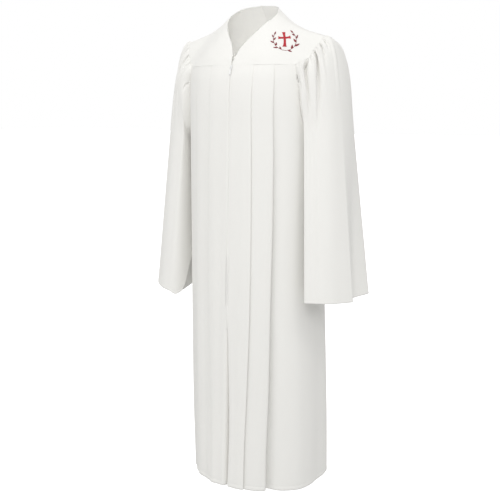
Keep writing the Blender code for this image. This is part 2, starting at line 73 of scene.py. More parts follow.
# The body's cross-section by level: a superellipse with this half width, reach in front of and behind
# the origin, and squareness, where 2 is an ellipse
BODY = {
    "drop": (0.130, 0.165, 0.200, 0.300, 0.500, 0.750, 0.950, 1.100, 1.220, 1.305),
    "half_width": (0.194, 0.1955, 0.196, 0.195, 0.193, 0.192, 0.194, 0.195, 0.195, 0.195),
    "front": (0.1165, 0.1272, 0.1315, 0.1350, 0.1398, 0.1455, 0.1480, 0.1500, 0.1550, 0.1600),
    "back": (0.116, 0.129, 0.136, 0.146, 0.152, 0.158, 0.168, 0.178, 0.188, 0.196),
    "squareness": (2.3, 2.3, 2.3, 2.3, 2.3, 2.3, 2.3, 2.3, 2.25, 2.2),
}
# How the skirt leans to the wearer's left: each side's width as a share of the body's by level
LEAN = {
    "drop": (0.300, 0.500, 0.750, 0.950, 1.100, 1.220, 1.305),
    "left": (1.000, 1.008, 1.020, 1.026, 1.026, 1.026, 1.024),
    "right": (1.000, 0.998, 0.990, 0.982, 0.976, 0.962, 0.950),
}
# How far the hem lifts where the cloth rides up, by turn with the wearer's right side negative
HEM_LIFT = {
    "turn": (-180, -120, -80, -58, -44, -30, -12, 0, 30, 60, 90, 120, 150, 180),
    "lift": (0.0, 0.002, 0.003, 0.007, 0.009, 0.005, 0.003, 0.003, 0.003, 0.002, 0.004, 0.008, 0.004, 0.0),
}
HEM_LIFT_FROM_DROP = 0.95

# The neck edge by way along it, from the foot of the V at 0, over the shoulder, to centre back at 1
NECK = {
    "way": (0.00, 0.14, 0.34, 0.52, 0.64, 1.00),
    "x": (0.0000, 0.0112, 0.0547, 0.0751, 0.0652, 0.0000),
    "y": (-0.1184, -0.0979, -0.0582, -0.0148, 0.0115, 0.0279),
    "z": (-0.1322, -0.0937, -0.0356, -0.0009, 0.0166, 0.0295),
}
FRONT_CORNER_WAY = 0.42
SHOULDER_WAY = 0.58
BACK_CORNER_WAY = 0.72
SHOULDER_GAP = 0.0002
YOKE_SWELL = {
    "way": (0.00, 0.20, 0.42, 0.58, 0.72, 0.86, 1.00),
    "out": (0.000, 0.003, 0.004, -0.006, 0.003, 0.011, 0.014),
}
CHEST_MIDDLE = (0.0, 0.01, -0.17)
EDGE_BLUR = 0.10
EDGE_BLUR_STEPS = (-1.0, -0.67, -0.33, 0.0, 0.33, 0.67, 1.0)
# The yokes' slight waves: the way and out of each one's middle, its width and its depth. All of them have
# one reach along out.
YOKE_WAVES = {
    "way": (0.10, 0.26, 0.40, 0.52, 0.66, 0.84, 0.96),
    "out": (0.60, 0.75, 0.35, 0.70, 0.70, 0.65, 0.55),
    "wide": (0.05, 0.07, 0.06, 0.05, 0.06, 0.06, 0.07),
    "deep": (0.0010, -0.0008, 0.0009, 0.0012, 0.0013, -0.0011, 0.0010),
}
YOKE_WAVE_REACH = 0.25
# A yoke's rows from the neck edge: this many evenly, and the last ones at these shares from the outer edge
YOKE_ROWS = {"even": 38, "even_to": 0.93, "last": (0.055, 0.04, 0.026, 0.013, 0.002, 0.0)}

# The armhole seam: over the shoulder, and under the arm, where it lies on the body
ARMHOLE_OVER = {
    "round": (-0.120, -0.080, -0.036, 0.000, 0.032, 0.074, 0.113),
    "x": (0.1970, 0.2080, 0.2150, 0.2172, 0.2133, 0.2033, 0.1940),
    "y": (0.0610, 0.0430, 0.0220, 0.0010, -0.0178, -0.0344, -0.0445),
    "z": (-0.1160, -0.0900, -0.0700, -0.0620, -0.0730, -0.0940, -0.1170),
}
ARMHOLE_UNDER = {
    "round": (0.172, 0.226, 0.283, 0.331, 0.377, 0.420, 0.462, 0.500,
              0.540, 0.582, 0.628, 0.676, 0.730, 0.780, 0.825),
    "turn": (67.5, 68.2, 68.6, 69.4, 71.2, 74.5, 81.0, 90.0,
             98.0, 104.0, 108.0, 110.5, 112.5, 113.8, 114.5),
    "drop": (FRONT_YOKE_DROP, 0.176, 0.215, 0.248, 0.279, 0.305, 0.326, 0.335,
             0.328, 0.308, 0.278, 0.243, 0.207, 0.177, BACK_YOKE_DROP),
}

# A panel's rows: how far below its seam the first ones lie, how many hem depths above its edge the last
# ones lie, and how many lie between them, a step away from both
PANEL_ROWS = {
    "seam": (0.0, 0.0002, 0.0007, 0.0015, 0.0026, 0.0042, 0.0064, 0.009, 0.0125, 0.017),
    "hem": (2.2, 1.8, 1.5, 1.3, 1.15, 1.0, 0.85, 0.6, 0.3, 0.0),
    "between": 150,
    "step": 0.0055,
}
# The columns of the fronts' three stretches between their folds, of the back between the yoke's corners,
# and of both panels' sides, which hang from the armholes
COLUMNS = {"first": 25, "middle": 12, "outer": 14, "back": 188, "front_side": 34, "back_side": 30}
# How far down, as a share of the panel, the columns under an armhole have spread evenly
SPREAD_BY = 0.4
# How steeply a strip between two folds rises from under one to the surface
STRIP_RISE = 1.4
# The side seam's turn, and how far both panels stay from it in degrees
SIDE_SEAM = {"turn": 90, "gap": 0.02}

# The knife pleats of each front: the turn of their outer folds, and the step between their layers
PLEATS = {
    "drop": (0.130, 0.220, 0.400, 0.600, 0.800, 1.020, 1.200, 1.305),
    "first": (30.0, 27.0, 26.4, 26.0, 24.6, 21.2, 18.4, 18.0),
    "second": (50.5, 47.6, 46.7, 45.6, 43.4, 40.8, 38.0, 37.4),
    "left_first_step": (0.0004, 0.0013, 0.0018, 0.0020, 0.0024, 0.0028, 0.0030, 0.0030),
    "right_first_step": (0.0004, 0.0012, 0.0014, 0.0014, 0.0016, 0.0018, 0.0020, 0.0020),
    "left_second_step": (0.0004, 0.0020, 0.0040, 0.0054, 0.0066, 0.0080, 0.0090, 0.0094),
    "right_second_step": (0.0004, 0.0014, 0.0018, 0.0022, 0.0026, 0.0030, 0.0032, 0.0032),
}
PLEAT_UNDER = 0.018
# The fronts' edges at the zip: how far they stand from the middle line, and how deep and how widely
# they roll in
ZIP_EDGE = {
    "drop": (0.130, 0.160, 0.500, 0.838, 0.860, 1.000, 1.100, 1.305),
    "edge_x": (0.0010, 0.0008, 0.00049, 0.00058, 0.0009, 0.0016, 0.0024, 0.0022),
    "roll": (0.0003, 0.0006, 0.0007, 0.0008, 0.0026, 0.0075, 0.0120, 0.0110),
    "roll_wide": (0.0024, 0.0024, 0.0024, 0.0024, 0.0026, 0.0034, 0.0036, 0.0036),
}
# The allowances at the fronts' edges: beside the zip each folds back behind its own front, and below it
# passes behind the other front. How far on the two columns lie there, and how deep. The change from one to
# the other starts a little below the zip's end and takes a short length.
ZIP_FOLD = {"past": (0.0040, 0.0002), "sink": (0.0016, 0.0012)}
SEAM_FOLD = {"past": (-0.0055, -0.0008), "left": (0.0078, 0.0060), "right": (0.0096, 0.0078)}
FOLD_CHANGE = {"below_zip": 0.004, "long": 0.012}

# The front's allowance behind the back at the side seam: how many degrees past it its columns lie, and
# how deep
SIDE_FOLD = {"past": np.array((0.1, 2.2)), "sink": np.array((0.0024, 0.0028))}

# Long soft creases of each front and of the back: turns at the top and at the hem, half width in
# degrees, and depth at the yoke, half way down and at the hem, where a ridge is negative
FRONT_CREASES = {
    "left": {
        "top": (9.0, 19.0, 37.0, 51.5, 73.0, 98.0),
        "bottom": (7.0, 13.0, 29.0, 38.8, 66.0, 90.0),
        "half_width": (5.0, 4.0, 4.5, 6.5, 9.0, 9.0),
        "yoke": (0.0, 0.0, 0.0, 0.0, 0.0, 0.0),
        "middle": (0.0006, -0.0006, 0.0008, 0.0048, -0.0010, 0.0014),
        "hem": (0.0008, -0.0010, 0.0012, 0.0090, -0.0030, 0.0050),
    },
    "right": {
        "top": (11.0, 21.0, 36.0, 43.0, 57.0, 66.0),
        "bottom": (9.0, 15.0, 27.0, 42.0, 55.0, 66.0),
        "half_width": (4.0, 4.5, 4.0, 4.5, 5.0, 4.0),
        "yoke": (0.0, 0.0, 0.0, 0.0, 0.0002, 0.0),
        "middle": (0.0012, -0.0008, 0.0014, -0.0014, 0.0022, -0.0014),
        "hem": (0.0016, -0.0014, 0.0030, -0.0030, 0.0040, -0.0020),
    },
}
BACK_CREASES = {
    "top": (98, 112, 128, 139, 150, 161, 173, 186, 198, 210, 221, 232, 245),
    "bottom": (90, 112, 127, 140, 149, 162, 173, 185, 199, 209, 222, 233, 246),
    "half_width": (9.0, 4.5, 4.2, 3.8, 4.4, 4.0, 4.6, 4.2, 4.4, 3.8, 4.4, 4.2, 4.5),
    "yoke": (0.000, 0.001, 0.004, 0.005, 0.004, 0.0055, 0.0045, 0.005, 0.004, 0.0055, 0.0045, 0.004,
             0.001),
    "middle": (0.0014, -0.001, 0.005, 0.003, 0.007, 0.003, 0.008, 0.004, 0.0075, 0.003, 0.006, 0.004,
               -0.001),
    "hem": (0.005, -0.002, 0.008, 0.003, 0.011, 0.004, 0.013, 0.005, 0.012, 0.004, 0.010, 0.006,
            -0.003),
}
# Short gathers under the back yoke: turn, half width in degrees, depth, and how far down they reach
BACK_GATHERS = {
    "turn": (122, 125, 131.5, 135, 142.5, 146, 154, 157.5, 165, 169, 177, 181,
             190, 194, 201.5, 205.5, 213.5, 217, 224.5, 228, 236),
    "half_width": (1.1, 0.9, 1.3, 1.0, 1.2, 0.9, 1.2, 1.0, 1.3, 1.0, 1.1, 0.9,
                   1.2, 1.1, 1.0, 1.3, 1.0, 1.2, 1.0, 1.1, 1.2),
    "deep": (0.0016, 0.0022, 0.0025, 0.0018, 0.0026, 0.0019, 0.0024, 0.0030, 0.0020, 0.0026, 0.0028,
             0.0018, 0.0024, 0.0020, 0.0029, 0.0019, 0.0026, 0.0022, 0.0027, 0.0018, 0.0022),
    "reach": (0.05, 0.08, 0.13, 0.06, 0.10, 0.16, 0.07, 0.12, 0.05, 0.15, 0.09, 0.06,
              0.14, 0.07, 0.11, 0.05, 0.13, 0.08, 0.10, 0.06, 0.07),
}

# Each sleeve is drawn through two rings, at the upper arm and at the cuff: where their front and back
# folds lie, and how far the cloth between them bulges outwards and towards the body
RINGS = {
    "left": {
        "arm": {"front": (0.1970, -0.074), "back": (0.222, 0.108), "out": 0.066, "in": 0.008},
        "cuff": {"front": (0.2245, -0.109), "back": (0.258, 0.122), "out": 0.093, "in": 0.028},
    },
    "right": {
        "arm": {"front": (0.200, -0.074), "back": (0.216, 0.100), "out": 0.073, "in": 0.010},
        "cuff": {"front": (0.234, -0.108), "back": (0.252, 0.115), "out": 0.073, "in": 0.047},
    },
}
POINTED = {"left": 1.15, "right": 0.80}
ARM_DROP = (0.270, 0.395)
CUFF_DROP = {
    "round": (0.0, 0.09, 0.167, 0.25, 0.325, 0.382, 0.425, 0.454, 0.5, 0.57, 0.64, 0.75, 0.84, 0.875,
              0.91, 0.94, 1.0),
    "left": (0.7575, 0.757, 0.757, 0.7573, 0.757, 0.756, 0.755, 0.754, 0.752, 0.751, 0.750, 0.754, 0.755,
             0.7557, 0.756, 0.7565, 0.7575),
    "right": (0.778, 0.750, 0.760, 0.772, 0.782, 0.758, 0.686, 0.650, 0.638, 0.660, 0.700, 0.764, 0.790,
              0.801, 0.808, 0.802, 0.778),
}
LEAVING = {
    "round": (0.00, 0.10, 0.20, 0.35, 0.50, 0.65, 0.80, 0.90, 1.00),
    "gap": (0.0005, 0.0005, 0.0006, 0.0008, 0.0010, 0.0008, 0.0006, 0.0005, 0.0005),
    "out": (0.041, 0.034, 0.030, 0.022, 0.010, 0.022, 0.048, 0.056, 0.041),
    "forward": (0.000, 0.010, 0.024, 0.030, 0.004, -0.024, -0.026, -0.020, 0.000),
    "up": (-0.002, -0.006, 0.000, -0.006, -0.010, -0.006, 0.014, 0.016, -0.002),
    "fall": (0.110, 0.100, 0.080, 0.060, 0.030, 0.060, 0.080, 0.100, 0.110),
}
HEAD_SHARE = 0.34
# A sleeve's rows down to its hem, closer together near the armhole by a power, its last rows above the
# cuff's edge as shares of its length, and its columns, closer together on the outer side
SLEEVE_GRID = {
    "rows": 138,
    "power": 1.45,
    "gap": 0.007,
    "last": (0.030, 0.026, 0.0225, 0.0205, 0.019, 0.0175, 0.015, 0.011, 0.005, 0.0),
    "columns": 280,
    "closer": 0.05,
}
# The gathers of a sleeve's head: round at the seam and where the gather ends, how far along it reaches,
# half width in turns, and depth, where a puff is negative
GATHERS = {
    "start": (0.126, 0.085, 0.048, 0.025, 0.152, 0.106, 0.066, 0.004, 0.968, 0.938, 0.905, 0.872,
              0.838, 0.806, 0.953, 0.888, 0.230, 0.762),
    "end": (0.216, 0.180, 0.080, 0.045, 0.205, 0.185, 0.120, 0.060, 0.955, 0.915, 0.885, 0.850,
            0.812, 0.780, 0.935, 0.868, 0.245, 0.748),
    "reach": (0.30, 0.40, 0.16, 0.12, 0.22, 0.36, 0.30, 0.36, 0.12, 0.30, 0.17, 0.34,
              0.20, 0.28, 0.20, 0.26, 0.14, 0.16),
    "half_width": (0.0150, 0.0125, 0.0075, 0.0070, 0.0110, 0.0130, 0.0120, 0.0140, 0.0080, 0.0120, 0.0090,
                   0.0125, 0.0100, 0.0110, 0.0100, 0.0100, 0.0110, 0.0110),
    "deep": (0.0240, 0.0200, 0.0130, 0.0100, -0.0045, -0.0045, -0.0035, -0.0045, 0.0090, 0.0130, 0.0100,
             0.0150, 0.0100, 0.0120, -0.0040, -0.0040, 0.0060, 0.0070),
}
# A gather at its seam, as shares of its depth and of its half width, and how far along it is full
GATHER_START = {"depth": 0.05, "half_width": 0.4, "full": 0.018}
# The sleeves' long folds: round at the armhole and at the cuff, half width in turns, depth at the upper
# arm and at the cuff, and how soft their crests are
LONG_FOLDS = {
    "left": {
        "start": (0.945, 0.085, 0.190, 0.800, 0.400, 0.620),
        "end": (0.958, 0.145, 0.205, 0.800, 0.420, 0.640),
        "half_width": (0.092, 0.060, 0.030, 0.040, 0.120, 0.070),
        "upper_arm": (0.005, -0.0025, 0.0030, 0.0030, 0.003, 0.003),
        "cuff": (0.046, -0.0030, 0.0020, -0.0060, 0.010, 0.006),
        "softness": (1.15, 2.0, 2.0, 2.0, 2.0, 2.0),
    },
    "right": {
        "start": (0.945, 0.100, 0.800, 0.620),
        "end": (0.955, 0.130, 0.790, 0.640),
        "half_width": (0.070, 0.060, 0.040, 0.070),
        "upper_arm": (0.006, -0.0015, 0.0030, 0.003),
        "cuff": (0.010, -0.0020, -0.0040, 0.006),
        "softness": (1.8, 2.0, 2.0, 2.0),
    },
}

# Zip. The teeth and the stitches of its end are tubes with these radii and lifts at stations along them.
TAPE_X = (0.0003, 0.0124)
TAPE_SINK = 0.0028
TAPE_TOP_DROP = 0.1385
TAPE_PAST_END = 0.006
TAPE_CORD = {"high": 0.0004, "in": 0.0006, "wide": 0.0005}
TOOTH = {
    "pitch": 0.00127,
    "sink": 0.0017,
    "x": 0.0008,
    "stations": (-0.0013, -0.0008, 0.0003, 0.0008, 0.0011),
    "radii": (0.00026, 0.00036, 0.00034, 0.00046, 0.00028),
    "lifts": (0.0, 0.0, 0.0, 0.0, 0.0),
}
END_TACK = {
    "stitches": 15,
    "half_width": 0.0028,
    "sink": -0.0005,
    "stations": (-0.0012, -0.0007, 0.0007, 0.0012),
    "radii": (0.0001, 0.0003, 0.0003, 0.0001),
    "lifts": (-0.0006, 0.0, 0.0, -0.0006),
}
ZIP_STITCH_IN = 0.0072

# Zip slider and pull tab. "Across" is along X, "along" runs up the front and "out" away from the cloth.
# "Narrower" is the share of its width that a plate or the tab loses towards its narrow end.
# The plates clear the CAD's walls of cloth and of tape.
SLIDER_DROP = 0.1425
CAD_CLOTH = 0.0014
CAD_TAPE = 0.0010
PLATE = {"across": 0.0086, "along": 0.0105, "corner": 0.0012, "thick": 0.0012, "narrower": 0.22,
         "narrows_from": 0.45}
PLATE_CLEAR = 0.0004
PLATE_EDGE = 0.0002
NECK_BLOCK = {"across": 0.0022, "along": 0.0030, "corner": 0.0008}
ARCH = {"across": 0.0018, "along": 0.0054, "high": 0.0036, "bar": 0.0010, "corner": 0.0003, "in": 0.0003,
        "fullness": 0.55}
TAB = {"across": 0.0050, "long": 0.0215, "thick": 0.0011, "end_bar": 0.0014, "corner": 0.0012,
       "edge": 0.00025, "narrower": 0.16}
TAB_HOLE = {"across": 0.0030, "long": 0.0044, "corner": 0.0009}
# The rim on the tab's front, with the shares of its outline and the heights of its four corners
TAB_RIM = {"across": 0.0030, "top": -0.0125, "bottom": -0.0185, "corner": 0.0014}
TAB_RIM_SECTION = {"share": (1.22, 1.14, 0.98, 0.9), "high": (-0.0001, 0.00015, 0.00015, -0.0001)}
TAB_LIE = 3.0

# Stitches. The stations are shares of half a stitch's length, and the radii and lifts of its thickness.
STITCH = {"long": 0.0022, "pitch": 0.0029, "thick": 0.00026}
STITCH_SHAPE = {"radii": (0.5, 1.0, 1.0, 0.5), "stations": (-1.0, -0.55, 0.55, 1.0),
                "lifts": (-1.3, 0.25, 0.25, -1.3)}

# Colours, each with its shade where the cloth's is not a share of it
WHITE = (0.870, 0.862, 0.830)
TAPE_WHITE = (0.80, 0.80, 0.78)
WHITE_SHADE = 0.93
THREAD_WHITE = (0.86, 0.855, 0.83)
THREAD_SHADE = (0.72, 0.715, 0.69)
ENAMEL = (0.88, 0.88, 0.87)
ENAMEL_SHADE = (0.80, 0.80, 0.79)
BRIGHT_RED = (0.62, 0.008, 0.022)
BRIGHT_RED_SHADE = (0.42, 0.004, 0.012)
DARK_RED = (0.30, 0.006, 0.016)
DARK_RED_SHADE = (0.18, 0.003, 0.009)


def smooth(at, stops, values):
    """Cubic Hermite curve through a table's rows, whose slope at a row comes from the rows beside it."""
    stops = np.asarray(stops, float)
    values = np.asarray(values, float)
    slopes = np.gradient(values, stops)
    at = np.clip(at, stops[0], stops[-1])
    row = np.clip(np.searchsorted(stops, at, side="right") - 1, 0, len(stops) - 2)
    span = stops[row + 1] - stops[row]
    t = (at - stops[row]) / span
    start = (2 * t**3 - 3 * t**2 + 1) * values[row] + (t**3 - 2 * t**2 + t) * span * slopes[row]
    end = (3 * t**2 - 2 * t**3) * values[row + 1] + (t**3 - t**2) * span * slopes[row + 1]
    return start + end


def read(table, column, at):
    """The named column of a table at a value of its first column."""
    return smooth(at, next(iter(table.values())), table[column])


def rows_of(table):
    """A table's rows as dictionaries, one for each crease or wave."""
    return [dict(zip(table, values)) for values in zip(*table.values())]


def unit(vectors):
    """Each vector divided by its length."""
    return vectors / np.maximum(np.linalg.norm(vectors, axis=-1, keepdims=True), 1e-12)


def ease(t):
    """A smooth step from 0 to 1: 3 t squared minus 2 t cubed."""
    t = np.clip(t, 0, 1)
    return 3 * t**2 - 2 * t**3


def body(turn, drop, sink=0.0):
    """Where a level ray at the turn meets the level's superellipse, moved in along its normal by the
    sink."""
    turn, drop, sink = np.broadcast_arrays(*(np.asarray(v, float) for v in (turn, drop, sink)))
    half = read(BODY, "half_width", drop)
    front, back = read(BODY, "front", drop), read(BODY, "back", drop)
    square = read(BODY, "squareness", drop)
    deep = (front + back) / 2
    across, along = np.sin(np.radians(turn)), -np.cos(np.radians(turn))
    reach = (np.abs(across / half) ** square + np.abs(along / deep) ** square) ** (-1 / square)
    x, y = reach * across, reach * along
    normal_x = np.sign(x) * np.abs(x / half) ** (square - 1) / half
    normal_y = np.sign(y) * np.abs(y / deep) ** (square - 1) / deep
    inward = sink / np.hypot(normal_x, normal_y)
    return np.stack([x - inward * normal_x, (back - front) / 2 + y - inward * normal_y, -drop], axis=-1)


def armhole(round_):
    """The wearer's left armhole seam: a closed smooth curve through its upper and lower rows."""
    over = np.stack([ARMHOLE_OVER[axis] for axis in "xyz"], axis=-1)
    under = body(ARMHOLE_UNDER["turn"], ARMHOLE_UNDER["drop"])
    stops = np.concatenate([ARMHOLE_OVER["round"], ARMHOLE_UNDER["round"]])
    points = np.concatenate([over, under])
    stops = np.concatenate([stops[-3:] - 1, stops, stops[:3] + 1])
    points = np.concatenate([points[-3:], points, points[:3]])
    at = (np.asarray(round_, float) + 0.12) % 1.0 - 0.12
    return np.stack([smooth(at, stops, points[:, axis]) for axis in range(3)], axis=-1)


def yoke_edge(way):
    """The yokes' outer edge: along the front seam, up and over the armhole, and along the back seam."""
    way = np.asarray(way, float)
    first_turn, last_turn = ARMHOLE_UNDER["turn"][0], ARMHOLE_UNDER["turn"][-1]
    front_turn = first_turn * way / FRONT_CORNER_WAY
    back_share = (way - BACK_CORNER_WAY) / (1 - BACK_CORNER_WAY)
    back_turn = last_turn + (180 - last_turn) * back_share
    corners = (FRONT_CORNER_WAY, SHOULDER_WAY, BACK_CORNER_WAY)
    rounds = (ARMHOLE_UNDER["round"][0], 0.0, ARMHOLE_UNDER["round"][-1] - 1)
    over = armhole(np.interp(way, corners, rounds))
    front = body(front_turn, FRONT_YOKE_DROP)
    back = body(back_turn, BACK_YOKE_DROP)
    way = way[..., None]
    return np.where(way < FRONT_CORNER_WAY, front, np.where(way > BACK_CORNER_WAY, back, over))


def yoke(way, out):
    """A line from the neck edge (out 0) to the yokes' outer edge (out 1), swelled away from the chest's
    middle by a parabola, and opened at centre front by half the zip's width. Away from the outer edge its
    corners are blurred."""
    neck = np.stack([read(NECK, axis, way) for axis in "xyz"], axis=-1)
    share = np.asarray(out, float)[..., None]
    spread = EDGE_BLUR * (1 - share[..., 0]) * np.clip(np.minimum(way, 1 - way) / 0.1, 0, 1)
    edge = sum(yoke_edge(way + spread * step) for step in EDGE_BLUR_STEPS) / len(EDGE_BLUR_STEPS)
    line = neck * (1 - share) + edge * share
    swell = read(YOKE_SWELL, "out", way)[..., None] * 4 * share * (1 - share)
    points = line + unit(line - np.array(CHEST_MIDDLE)) * swell
    points[..., 0] += ZIP_EDGE["edge_x"][0] * np.clip(1 - way / FRONT_CORNER_WAY, 0, 1) ** 2
    return points


def degrees_of(run, turn, drop):
    """The turn that a distance along the body takes up there."""
    return run / np.linalg.norm(body(turn + 0.5, drop) - body(turn - 0.5, drop), axis=-1)


def grid_normals(points, closed=False):
    """Outward unit normals of a grid: the cross product of its steps down and sideways."""
    down = np.gradient(points, axis=0)
    if closed:
        sideways = np.roll(points, -1, axis=1) - np.roll(points, 1, axis=1)
    else:
        sideways = np.gradient(points, axis=1)
    return unit(np.cross(down, sideways))


def groove(points, lines):
    """How deep cloth dips towards its seams: a bell of the distance to the nearest seam line's points,
    worked out a part of the grid at a time to spare memory."""
    line = np.concatenate(lines)
    parts = np.array_split(points.reshape(-1, 3), 80)
    near = [np.linalg.norm(part[:, None] - line, axis=-1).min(axis=1) for part in parts]
    away = np.concatenate(near).reshape(points.shape[:-1])
    return GROOVE["deep"] * np.exp(-((away / GROOVE["wide"]) ** 2))


def hem_shape(distance, deep):
    """The turned-up hem by distance from the cloth's edge: a little proud, with a dent at its stitches."""
    dent = HEM_TURN["dent"] * np.exp(-(((distance - deep) / HEM_TURN["dent_wide"]) ** 2))
    return dent - HEM_TURN["proud"] * (1 - ease((distance - deep) / HEM_TURN["fade"] + 0.5))


def creased(table, turn, drop):
    """The sink of long soft creases: a bell across each, whose middle and depth change down its length."""
    share = (drop - FRONT_YOKE_DROP) / (HEM_DROP - FRONT_YOKE_DROP)
    sink = 0.0
    for crease in rows_of(table):
        middle = crease["top"] + (crease["bottom"] - crease["top"]) * share
        depth = smooth(share, (0.0, 0.5, 1.0), [crease[level] for level in ("yoke", "middle", "hem")])
        sink = sink + depth * np.exp(-(((turn - middle) / crease["half_width"]) ** 2))
    return sink


def panel_rows():
    """Shares of the way down a panel, close together at its seam and at its hem, after the tuck's rows."""
    length = HEM_DROP - FRONT_YOKE_DROP
    seam, hem = np.array(PANEL_ROWS["seam"]), np.array(PANEL_ROWS["hem"]) * HEM_DEEP
    step = PANEL_ROWS["step"]
    between = np.linspace(seam[-1] + step, length - hem[0] - step, PANEL_ROWS["between"])
    return np.concatenate([-np.array(TUCK["past"]), seam, between, length - hem]) / length


ROWS = panel_rows()
ROW_TUCK = np.append(TUCK["sink"], np.zeros(len(ROWS) - len(TUCK["sink"])))[:, None]
ROW_RUN = ROWS[:, None] * (HEM_DROP - FRONT_YOKE_DROP)
ROW_LAP = -YOKE_LAP["proud"] * (1 - ease(ROW_RUN / YOKE_LAP["fade"]))


def strip(start, end, start_sink, shares):
    """Turns and sinks across a strip, which rises from its start's sink to the surface."""
    return start + (end - start) * shares, start_sink * (1 - shares) ** STRIP_RISE


def knife_pleat(edge, step, drop):
    """Turns and sinks round a pleat: half a circle at its outer fold, back under by PLEAT_UNDER, half a
    circle at its inner fold, and out again below that."""
    angle = np.radians((-90, -50, -15, 20, 55, 90))
    across, up = np.cos(angle), np.sin(angle)
    half = step / 2
    level = np.linspace(0.15, 0.85, 3)
    runs = [
        half * (across - 1),
        -half - (PLEAT_UNDER - 2 * half) * level,
        half - PLEAT_UNDER - half * across,
        half - PLEAT_UNDER + (PLEAT_UNDER - half) * np.append(level, 1.0),
    ]
    layers = [0.5 + up / 2, np.ones(3), 1.5 + up / 2, np.full(4, 2.0)]
    run = np.concatenate(runs, axis=1)
    return edge + degrees_of(run, edge, drop), step * np.concatenate(layers)


def hanging(rounds, turns, count, seam_drop):
    """Turns and drops of columns that hang from the armhole, below the yoke's seam: they start on the
    armhole's seam and spread evenly towards the hem."""
    share = np.concatenate([[0.0, 0.006], np.linspace(0.03, 0.97, count - 4), [0.994, 1.0]])
    start = armhole(rounds[0] + (rounds[1] - rounds[0]) * share)
    top = np.maximum(-start[:, 2], seam_drop)
    middle = (read(BODY, "back", top) - read(BODY, "front", top)) / 2
    start_turn = np.clip(np.degrees(np.arctan2(start[:, 0], middle - start[:, 1])), min(turns), max(turns))
    end_turn = turns[0] + (turns[1] - turns[0]) * share
    spread = np.minimum(ROWS[:, None] / SPREAD_BY, 1)
    return start_turn + (end_turn - start_turn) * spread, top + (HEM_DROP - top) * ROWS[:, None]


def leaning(grid):
    """The grid with its sides widened or narrowed as LEAN says and its hem lifted as HEM_LIFT says."""
    x, y, z = np.moveaxis(grid, -1, 0)
    share = np.where(x > 0, read(LEAN, "left", -z), read(LEAN, "right", -z))
    turn = np.degrees(np.arctan2(x, -y))
    lift = read(HEM_LIFT, "lift", turn) * ease((-z - HEM_LIFT_FROM_DROP) / (HEM_DROP - HEM_LIFT_FROM_DROP))
    return np.stack([x * share, y, z + lift], axis=-1)


def mirrored(grid):
    """The other side's grid, its columns reversed so that its faces keep their outer side."""
    return grid[:, ::-1] * (-1, 1, 1)


def front_panel(hand):
    """The front of either hand, drawn on the wearer's left. Its strips lie like shingles: each rises from
    under the fold of the one nearer the middle to its own fold, and the first rolls in at the zip. Its
    allowances fold under at the zip and pass behind the back at the side seam."""
    top = FRONT_YOKE_DROP + SEAM_GAP / 2
    drop = (top + (HEM_DROP - top) * ROWS)[:, None]
    corner = ARMHOLE_UNDER["turn"][0]
    first, second = (read(PLEATS, fold, drop) for fold in ("first", "second"))
    first_step, second_step = (read(PLEATS, f"{hand}_{fold}_step", drop) for fold in ("first", "second"))
    first_start = first - degrees_of(first_step / 2, first, drop)
    second_start = second - degrees_of(second_step / 2, second, drop)
    edge = degrees_of(read(ZIP_EDGE, "edge_x", drop), 0.0, drop)
    across = np.linspace(0, 1, COLUMNS["first"] + 1)[:-1] ** 1.9
    turn, sink = strip(edge, first_start, 0.0, across)
    roll = read(ZIP_EDGE, "roll", drop)
    sink = sink + roll * np.exp(-(turn - edge) / degrees_of(read(ZIP_EDGE, "roll_wide", drop), 0.0, drop))
    below_zip = ease((drop - ZIP_END_DROP - FOLD_CHANGE["below_zip"]) / FOLD_CHANGE["long"])
    past = np.array(ZIP_FOLD["past"]) * (1 - below_zip) + np.array(SEAM_FOLD["past"]) * below_zip
    folded = np.array(ZIP_FOLD["sink"]) * (1 - below_zip) + np.array(SEAM_FOLD[hand]) * below_zip
    middle_shares = np.linspace(0, 1, COLUMNS["middle"] + 2)[1:-1]
    outer_shares = np.linspace(0, 1, COLUMNS["outer"] + 2)[1:-1]
    stretches = [
        (edge + degrees_of(past, 0.0, drop), folded + roll),
        (turn, sink),
        knife_pleat(first, first_step, drop),
        strip(first, second_start, 2 * first_step, middle_shares),
        knife_pleat(second, second_step, drop),
        strip(second, corner, 2 * second_step, outer_shares),
    ]
    side_turns = (corner, SIDE_SEAM["turn"] - SIDE_SEAM["gap"])
    side_turn, side_drop = hanging((ARMHOLE_UNDER["round"][0], 0.5), side_turns, COLUMNS["front_side"], top)
    allowance = (side_turn[:, -1:] + SIDE_FOLD["past"], side_drop[:, -1:] + 0 * SIDE_FOLD["past"])
    fold = SIDE_FOLD["sink"] + 0 * drop
    turn = np.concatenate([stretch[0] for stretch in stretches] + [side_turn, allowance[0]], axis=1)
    sink = np.concatenate([stretch[1] for stretch in stretches] + [0 * side_turn, fold], axis=1)
    level = np.broadcast_to(drop, (len(ROWS), sum(stretch[0].shape[1] for stretch in stretches)))
    drop = np.concatenate([level, side_drop, allowance[1]], axis=1)
    sink = sink + creased(FRONT_CREASES[hand], turn, drop) + hem_shape(HEM_DROP - drop, HEM_DEEP)
    sink = sink + ROW_TUCK + ROW_LAP
    return body(turn, drop, sink + groove(body(turn, drop), [ARMHOLE_LINE]))


